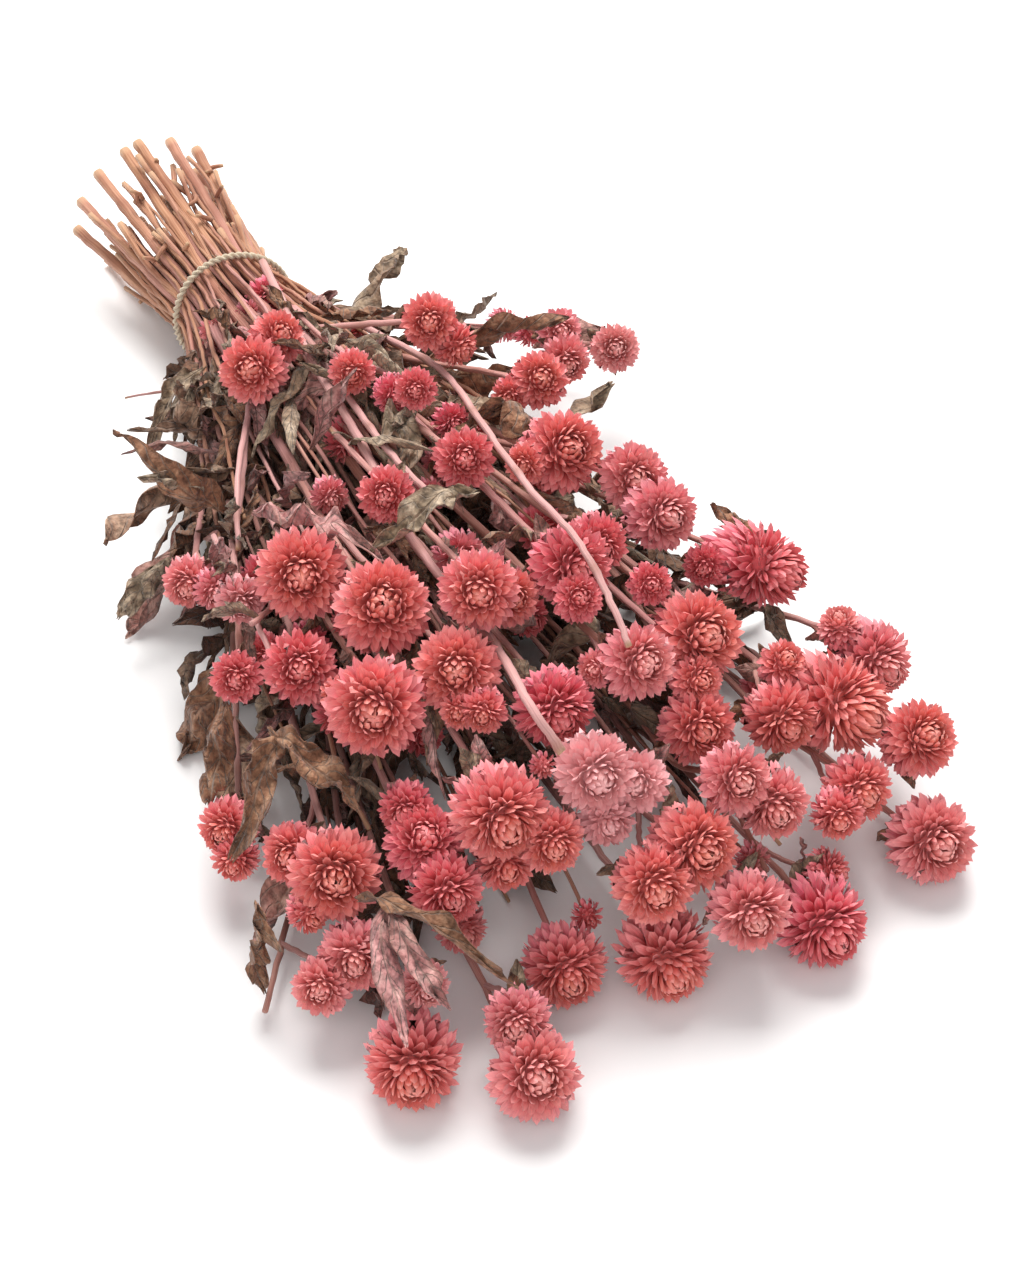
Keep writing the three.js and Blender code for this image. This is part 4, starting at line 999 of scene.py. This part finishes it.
def add_leaf(piece, spine, across, half, dice, hue, grid, crumple=1.0, roll=0.7):
    rows, columns = grid
    steps = (rows - 1) // (len(spine) - 1)
    line, wide = curve_through(spine, steps), curve_through(half, steps)
    side = unit(curve_through(across, steps))
    ahead = unit(np.gradient(line, axis=0))
    side = unit(side - (side * ahead).sum(1, keepdims=True) * ahead)
    face = np.cross(ahead, side)
    rows = len(line)
    along = np.linspace(0, 1, rows)[:, None]
    width = np.linspace(-1, 1, columns)[None, :]
    wide = np.maximum(wide, 0.25 * mm)[:, None]
    size = wide.max()
    ease = np.sin(math.pi * np.clip(along * 0.9 + 0.1, 0, 1)) ** 0.5
    # The blade rolls in from its edges, more in some places than in others, and stays folded at the rib
    wave = 2 * math.pi * (dice.uniform(0.6, 1.6) * along + dice.uniform(0, 1))
    rolled = roll * (0.55 + 0.45 * np.sin(wave))
    rolled = np.maximum(rolled * (1 + dice.uniform(-0.35, 0.35) * np.sign(width)), 0.05)
    up = dice.choice([-1, 1])
    lift = up * (wide * (1 - np.cos(rolled * width)) / rolled - 0.22 * size * (1 - np.abs(width)))
    for _ in range(4):
        forward, aside = dice.uniform(1.0, 3.6), dice.uniform(-1.6, 1.6)
        wave = 2 * math.pi * (forward * along + aside * width / 2) + dice.uniform(0, 6.3)
        lift = lift + size * 0.11 * crumple * np.sin(wave)
    wave = 2 * math.pi * (dice.uniform(2.5, 4.5) * along + dice.uniform(0, 1))
    ruffle = np.sin(wave + 1.2 * np.sign(width))
    lift = (lift + size * 0.20 * crumple * ruffle * np.abs(width) ** 2.5) * ease
    shrink = 1 - 0.07 * crumple * (1 + np.sin(2 * math.pi * (dice.uniform(1.5, 3) * along + width * 0.4)))
    slip = size * 0.10 * crumple * np.sin(2 * math.pi * (dice.uniform(1.5, 3) * along + width))
    spread = np.sin(rolled * width) / rolled
    middle = (line[:, None] + side[:, None] * (spread * wide * shrink)[:, :, None]
              + face[:, None] * lift[:, :, None] + ahead[:, None] * slip[:, :, None])
    slope = np.cross(np.gradient(middle, axis=0), np.gradient(middle, axis=1))
    slope = slope / np.maximum(np.linalg.norm(slope, axis=-1, keepdims=True), 1e-12)
    middle[:, :, 2] = np.maximum(middle[:, :, 2], 0.5 * mm)
    skins = (middle + slope * HALF_SKIN, middle - slope * HALF_SKIN)
    corners = np.concatenate([skin.reshape(-1, 3) for skin in skins])
    # Two skins, the second with its faces the other way, and a narrow rim all round between them
    under = rows * columns
    faces = []
    for r in range(rows - 1):
        for c in range(columns - 1):
            a, b = r * columns + c, r * columns + c + 1
            d, e = a + columns, b + columns
            faces += [(a, d, e, b), (under + a, under + b, under + e, under + d)]
    rim = ([(r * columns, (r + 1) * columns) for r in range(rows - 1)]
           + [((rows - 1) * columns + c, (rows - 1) * columns + c + 1) for c in range(columns - 1)]
           + [((r + 1) * columns - 1 + columns, (r + 1) * columns - 1) for r in reversed(range(rows - 1))]
           + [(c + 1, c) for c in reversed(range(columns - 1))])
    faces += [(a, under + a, under + b, b) for a, b in rim]
    place = painted((rows, columns), width, along, dice.uniform(0, 1))
    tone = np.broadcast_to(np.array(hue, dtype=float), (len(corners), 3))
    piece.add(corners, faces, grain=np.concatenate([place, place]), leaf=tone)


BLADE_THICKNESS = 0.7 * mm
BLADE_SLACK = 4e-6


def blades_of(name):
    # A leaf of the CAD model has four pairs of short upright edges, one pair to each of its stations
    points, beside = welded(name)
    posts = [(a, b) for a, near in enumerate(beside) for b in near
             if a < b and abs(np.linalg.norm(points[a] - points[b]) - BLADE_THICKNESS) < BLADE_SLACK]
    ways = np.array([unit(points[b] - points[a]) for a, b in posts])
    group = list(range(len(posts)))
    for i, j in combinations(range(len(posts)), 2):
        if any(b in beside[a] for a in posts[i] for b in posts[j]):
            old, new = group[j], group[i]
            group = [new if one == old else one for one in group]
    found = []
    for label in sorted(set(group)):
        own = [i for i in range(len(posts)) if group[i] == label]
        pairs = []
        for i, j in combinations(own, 2):
            if abs(ways[i] @ ways[j]) > 0.99999 and any(b in beside[a] for a in posts[i] for b in posts[j]):
                ends = [points[list(posts[k])].mean(0) for k in (i, j)]
                pairs.append((sum(ends) / 2, ends[1] - ends[0]))
        if len(own) < 6 or len(pairs) < 3:
            continue
        pairs.sort(key=lambda pair: np.linalg.norm(pair[1]))
        row = [pairs.pop(0)]
        while pairs:
            pairs.sort(key=lambda pair: np.linalg.norm(pair[0] - row[-1][0]))
            row.append(pairs.pop(0))
        row.reverse()
        found.append(row)
    return found


def straightened(row):
    fixed = [row[0]]
    for middle, across in row[1:]:
        fixed.append((middle, across if across @ fixed[-1][1] > 0 else -across))
    return fixed


# How pink, how brown and how dark a leaf is
HUES = ((0.0, 0.15, 0.0), (0.05, 0.55, 0.0), (0.0, 0.95, 0.1), (0.8, 0.4, 0.0), (0.45, 0.6, 0.05))
KHAKI, BROWN, MAUVE = 0, 2, 3
STEM_LEAF_GRID = (26, 11)
LEAF_CREASE = 70
leaf_look = leaf_finish()
for number, name in enumerate(stem_nodes):
    dice = np.random.default_rng(3400 + number)
    blades = Piece()
    carried = np.concatenate([one["path"] for one in grown if one["node"] == name])
    for row in blades_of(name):
        row = straightened(row)
        middles = [middle for middle, _ in row]
        back = middles[0] - unit(middles[1] - middles[0]) * np.linalg.norm(middles[1] - middles[0])
        root = carried[np.linalg.norm(carried - back, axis=1).argmin()]
        tip = middles[-1] + unit(middles[-1] - middles[-2]) * 3 * mm
        across = unit(np.array([row[0][1]] + [across for _, across in row] + [row[-1][1]]))
        half = [0.9 * mm] + [np.linalg.norm(across) / 2 for _, across in row] + [0.3 * mm]
        hue = HUES[dice.integers(len(HUES))]
        spine = [root] + middles + [tip]
        add_leaf(blades, spine, across, half, dice, hue, STEM_LEAF_GRID, crumple=1.4, roll=1.5)
    if blades.count:
        blades.made("leaves" + name[4:], leaf_look, "dry_stem", crease=LEAF_CREASE)

# Single leaves that lie on top and catch the eye: hue, width, roll, and points in millimetres
LYING_LEAVES = (
    (MAUVE, 9, 1.2, ((156, -79, 42), (165, -86, 38), (178, -89, 32), (194, -93, 29))),
    (MAUVE, 8, 1.4, ((156, -79, 42), (173, -82, 42), (185, -81, 38), (192, -79, 34))),
    (BROWN, 8, 2.4, ((150, -86, 40), (160, -79, 44), (173, -72, 44), (186, -66, 40), (192, -58, 30))),
    (BROWN, 9, 1.8, ((134, -110, 34), (139, -111, 26), (140, -114, 16), (142, -113, 5))),
    (KHAKI, 8, 1.6, ((-38, -3, 62), (-39, 3, 70), (-32, 10, 72), (-25, 11, 70))),
    (KHAKI, 13, 1.2, ((-8, 12, 66), (1, 1, 69), (12, 0, 68), (19, -6, 66))),
    (KHAKI, 11, 1.5, ((58, 0, 84), (56, -11, 84), (59, -25, 82), (59, -36, 76))),
    (MAUVE, 10, 1.6, ((9, -53, 60), (29, -46, 71), (47, -39, 76), (64, -35, 76))),
    (BROWN, 12, 1.8, ((94, -81, 54), (100, -92, 48), (109, -100, 40), (112, -108, 30))),
    (BROWN, 11, 1.6, ((92, -85, 54), (105, -81, 53), (116, -76, 50), (126, -74, 47))),
    (KHAKI, 10, 1.4, ((-15, -75, 30), (-14, -82, 26), (-13, -90, 20), (-12, -95, 16))),
    (KHAKI, 9, 2.0, ((-94, -28, 38), (-88, -40, 38), (-81, -50, 34), (-70, -60, 28))),
    (BROWN, 12, 1.5, ((63, -88, 40), (73, -95, 35), (81, -101, 28), (80, -103, 20))),
    (BROWN, 9, 1.6, ((68, 79, 54), (79, 82, 52), (84, 88, 50), (83, 94, 42))),
)
LYING_LEAF_GRID = (25, 9)
lying = Piece()
dice = np.random.default_rng(909)
for hue, width, roll, points in LYING_LEAVES:
    points = np.array(points) * mm
    side = unit(np.cross(points[-1] - points[0], (0.3, 0.1, 1.0)))
    shape = np.interp(np.linspace(0, 1, len(points)), (0, 0.3, 0.7, 1), (0.25, 1.0, 0.9, 0.15))
    shape = width / 2 * mm * shape
    turned = [unit(side + dice.normal(0, 0.25, 3)) for _ in points]
    add_leaf(lying, points, turned, shape, dice, HUES[hue], LYING_LEAF_GRID, crumple=2.0, roll=roll)
lying.made("lying_leaves", leaf_look, "dry_stem", crease=LEAF_CREASE)


# Small crumpled leaves: most joints below the blooms carry one or two small leaves, that dried first and
# shrank round the stem. They fill the space between the stems from the tie to the blooms.
LEAFY_FROM = tie_middle[0] + 0.02
LEAFY_TO = tie_middle[0] + 0.25
# On the side towards the camera they go on further out
LEAFY_FURTHER = 0.09
LEAF_CHANCE = 0.42
LOW_LEAF_CHANCE = 0.34
JOINT_GAPS = (0.016, 0.03)
HUE_SHARES = (0.30, 0.25, 0.20, 0.15, 0.10)
SMALL_LEAF_GRID = (13, 7)
SECTIONS = 6
DOWN = np.array([0.0, 0.0, -1.0])


def hanging_leaf(root, along, dice, length, width):
    """The rib of a leaf that hangs from here, its side and half width along it, and whether it has room."""
    outward = root - (tie_middle + (0.12, 0, 0))
    outward = unit(outward * (0, 1, 0.35) + dice.normal(0, 0.012, 3))
    way = unit(along * dice.uniform(0.3, 1.2) + outward * dice.uniform(0.0, 0.45) + dice.normal(0, 0.45, 3))
    droop = DOWN * dice.uniform(0.0, 0.9) + along * dice.uniform(0, 0.5) + dice.normal(0, 0.3, 3)
    spine = [root]
    for _ in range(4):
        way = unit(way + droop * 0.42)
        spine.append(spine[-1] + way * length / 4)
    spine = np.array(spine)
    inside = (spine >= INNER_BOX[0]).all() and (spine <= INNER_BOX[1]).all()
    clear = not in_blooms(spine, all_heads + young_heads, 1.5 * mm).any()
    side = unit(np.cross(way, dice.normal(0, 1, 3)))
    face, turned = np.cross(way, side), []
    twist, more = dice.uniform(-0.4, 0.4), dice.uniform(-0.55, 0.55)
    for _ in spine:
        turned.append(unit(math.cos(twist) * side + math.sin(twist) * face + dice.normal(0, 0.15, 3)))
        twist += more
    half = width / 2 * np.array([0.22, 0.8, 1.0, 0.72, 0.12])
    return spine, np.array(turned), half, inside and clear


tangle = [Piece() for _ in range(SECTIONS)]
next_piece = cycle(tangle)
dice = np.random.default_rng(4711)
for one in grown + spare:
    path, reach = one["path"], one["reach"]
    at = dice.uniform(0.0, 0.02)
    while at < reach[-1]:
        spot = int(np.searchsorted(reach, at))
        root = path[spot]
        along = unit(path[min(spot + 1, len(path) - 1)] - path[max(spot - 1, 0)])
        share = (root[0] - LEAFY_FROM) / (LEAFY_TO + LEAFY_FURTHER * (root[1] < -0.03) - LEAFY_FROM)
        crowd = np.interp(share, (0, 0.12, 0.55, 0.8, 1.0), (0.35, 0.9, 0.85, 0.55, 0.0))
        low = root[2] < 0.03 and abs(root[1]) < 0.07 and 0.3 < share < 1
        chance = LOW_LEAF_CHANCE if low else crowd * LEAF_CHANCE * (0 < share < 1)
        for _ in range(2):
            if dice.uniform() > chance:
                continue
            for attempt in range(8):
                longest = np.interp(share, (0, 0.25), (24, 48))
                length = dice.uniform(16, longest) * mm * (1 - 0.06 * attempt)
                width = dice.uniform(4.5, 9.5) * mm
                spine, across, half, good = hanging_leaf(root, along, dice, length, width)
                if good:
                    break
            if not good:
                continue
            pink, brown, darkness_and_painted_shade = HUES[dice.choice(5, p=HUE_SHARES)]
            # Leaves low over the table get painted shade: the lower the root, the darker
            hue = (pink, brown, darkness_and_painted_shade + 0.75 * (1 - np.clip((root[2] - 0.015) / 0.04, 0, 1)))
            add_leaf(next(next_piece), spine, across, half, dice, hue, SMALL_LEAF_GRID,
                     crumple=dice.uniform(1.2, 2.4), roll=dice.uniform(0.6, 2.4))
        at += dice.uniform(*JOINT_GAPS)

# One to three small leaves clasp each bloom from behind
CLASPING_SHARES = (0.25, 0.3, 0.2, 0.15, 0.10)
for head in all_heads:
    first, second = side_frame(head.axis)
    for _ in range(dice.integers(1, 4)):
        turn = dice.uniform(0, 2 * math.pi)
        out = first * math.cos(turn) + second * math.sin(turn)
        length = min(head.width * dice.uniform(0.45, 0.75), 15 * mm)
        way, spine = unit(out - head.axis * dice.uniform(0.1, 0.9)), [head.base - head.axis * 0.8 * mm]
        for _ in range(4):
            way = unit(way + head.axis * dice.uniform(-0.35, 0.5))
            spine.append(spine[-1] + way * length / 4)
        side = unit(np.cross(way, head.axis))
        half = length * 0.26 * np.array([0.4, 1.0, 0.9, 0.6, 0.1])
        turned = np.array([unit(side + dice.normal(0, 0.2, 3)) for _ in spine])
        hue = HUES[dice.choice(5, p=CLASPING_SHARES)]
        add_leaf(next(next_piece), np.array(spine), turned, half, dice, hue, SMALL_LEAF_GRID)

# The lowest leaves hang from the stems over the table, brown and painted nearly black as shade under the
# blooms
LOW_LEAVES = 110
dice = np.random.default_rng(5151)
steps = [step for one in grown + spare for step in zip(one["path"], one["path"][1:])]
steps = [(start, end) for start, end in steps
         if start[2] < 0.03 and -0.05 < start[0] < 0.12 and abs(start[1]) < 0.08]
for _ in range(LOW_LEAVES):
    root, end = steps[dice.integers(len(steps))]
    length, width = dice.uniform(22, 42) * mm, dice.uniform(8, 13) * mm
    spine, across, half, good = hanging_leaf(root, unit(end - root), dice, length, width)
    if good:
        hue = (*HUES[BROWN][:2], dice.uniform(0.6, 0.95))
        add_leaf(next(next_piece), spine, across, half, dice, hue, SMALL_LEAF_GRID, crumple=1.6, roll=1.2)
for number, piece in enumerate(tangle):
    piece.made(f"small_leaves_{number + 1}", leaf_look, "dry_stem", crease=LEAF_CREASE)


# Tie: one turn of pale cream cotton cord, two plies laid up together, drawn round all the stems. Its
# fibres stand off it here and there.
PLY_TURNS = 27
PLY_OUT = 0.46
PLY_SIZE = 0.56
PLY_SIDES = 8
LOOP_STEPS = 12
FIBRES = 90
FIBRE_RADIUS = 0.05 * mm
COTTON = ((0.3, (0.52, 0.40, 0.27)), (0.6, (0.80, 0.70, 0.54)), (0.8, (0.90, 0.83, 0.70)))


def cord_finish():
    finish, tree, shader = new_finish("tie", 0.85, 0.1, 0.3)
    fibre = noise(tree, 4.0, 4.0, attribute(tree, "grain")[0], (5.0, 5.0, 1.2))
    finished(tree, shader, ramped(tree, fibre, *COTTON), fibre, 0.6, 0.4 * mm)
    return finish


# The CAD loop is a ring of six-sided rings. Their middles are joined past both ends, and the overlap goes.
points, beside = welded("tie")
loop_rings = whole_rings(points, beside, (6,))
loop_rings.sort(key=lambda ring: math.atan2(*(ring["centre"] - tie_middle)[[2, 1]]))
line = np.array([ring["centre"] for ring in loop_rings])
cord_radius = loop_rings[0]["radius"]
overlap = 2 * LOOP_STEPS
line = curve_through(np.concatenate([line[-2:], line, line[:3]]), LOOP_STEPS)[overlap:-overlap]
count = len(line) - 1
line = line[:count]
radial = unit((line - line.mean(0)) * (0, 1, 1))
ahead = unit(np.roll(line, -1, axis=0) - np.roll(line, 1, axis=0))
binormal = np.cross(ahead, radial)
cord = Piece()
round_ply = np.linspace(0, 2 * math.pi, PLY_SIDES, endpoint=False)
for ply in (0, math.pi):
    turn = (np.arange(count) / count * PLY_TURNS * 2 * math.pi + ply)[:, None]
    middle = line + (np.cos(turn) * radial + np.sin(turn) * binormal) * cord_radius * PLY_OUT
    outline = np.cos(round_ply)[:, None] * radial[:, None] + np.sin(round_ply)[:, None] * binormal[:, None]
    corners = (middle[:, None] + outline * cord_radius * PLY_SIZE).reshape(-1, 3)
    rows = [(r * PLY_SIDES, (r + 1) % count * PLY_SIDES) for r in range(count)]
    edges = [(k, (k + 1) % PLY_SIDES) for k in range(PLY_SIDES)]
    faces = [(row + a, onward + a, onward + b, row + b) for row, onward in rows for a, b in edges]
    grain = painted((count, PLY_SIDES), np.cos(round_ply), np.sin(round_ply), turn * 0.5)
    cord.add(corners, faces, grain=grain)
dice = np.random.default_rng(52)
for _ in range(FIBRES):
    at = dice.integers(count)
    start = line[at] + radial[at] * cord_radius * 0.6 + binormal[at] * dice.normal(0, 0.4) * cord_radius
    way = radial[at] * dice.uniform(0.2, 1) + ahead[at] * dice.normal(0, 1) + binormal[at] * dice.normal(0, 1)
    way = unit(way)
    bend = dice.normal(0, 1, 3)
    reach = dice.uniform(1.2, 3.6) * mm
    hair = [start, start + way * reach / 2, start + unit(way + 0.5 * bend) * reach]
    corners, faces, around, _ = tube(curve_through(hair, 3), np.full(7, FIBRE_RADIUS), np.ones(3))
    cord.add(corners, faces, grain=around)
cord.made("tie_cord", cord_finish(), "tie", ["tie"])
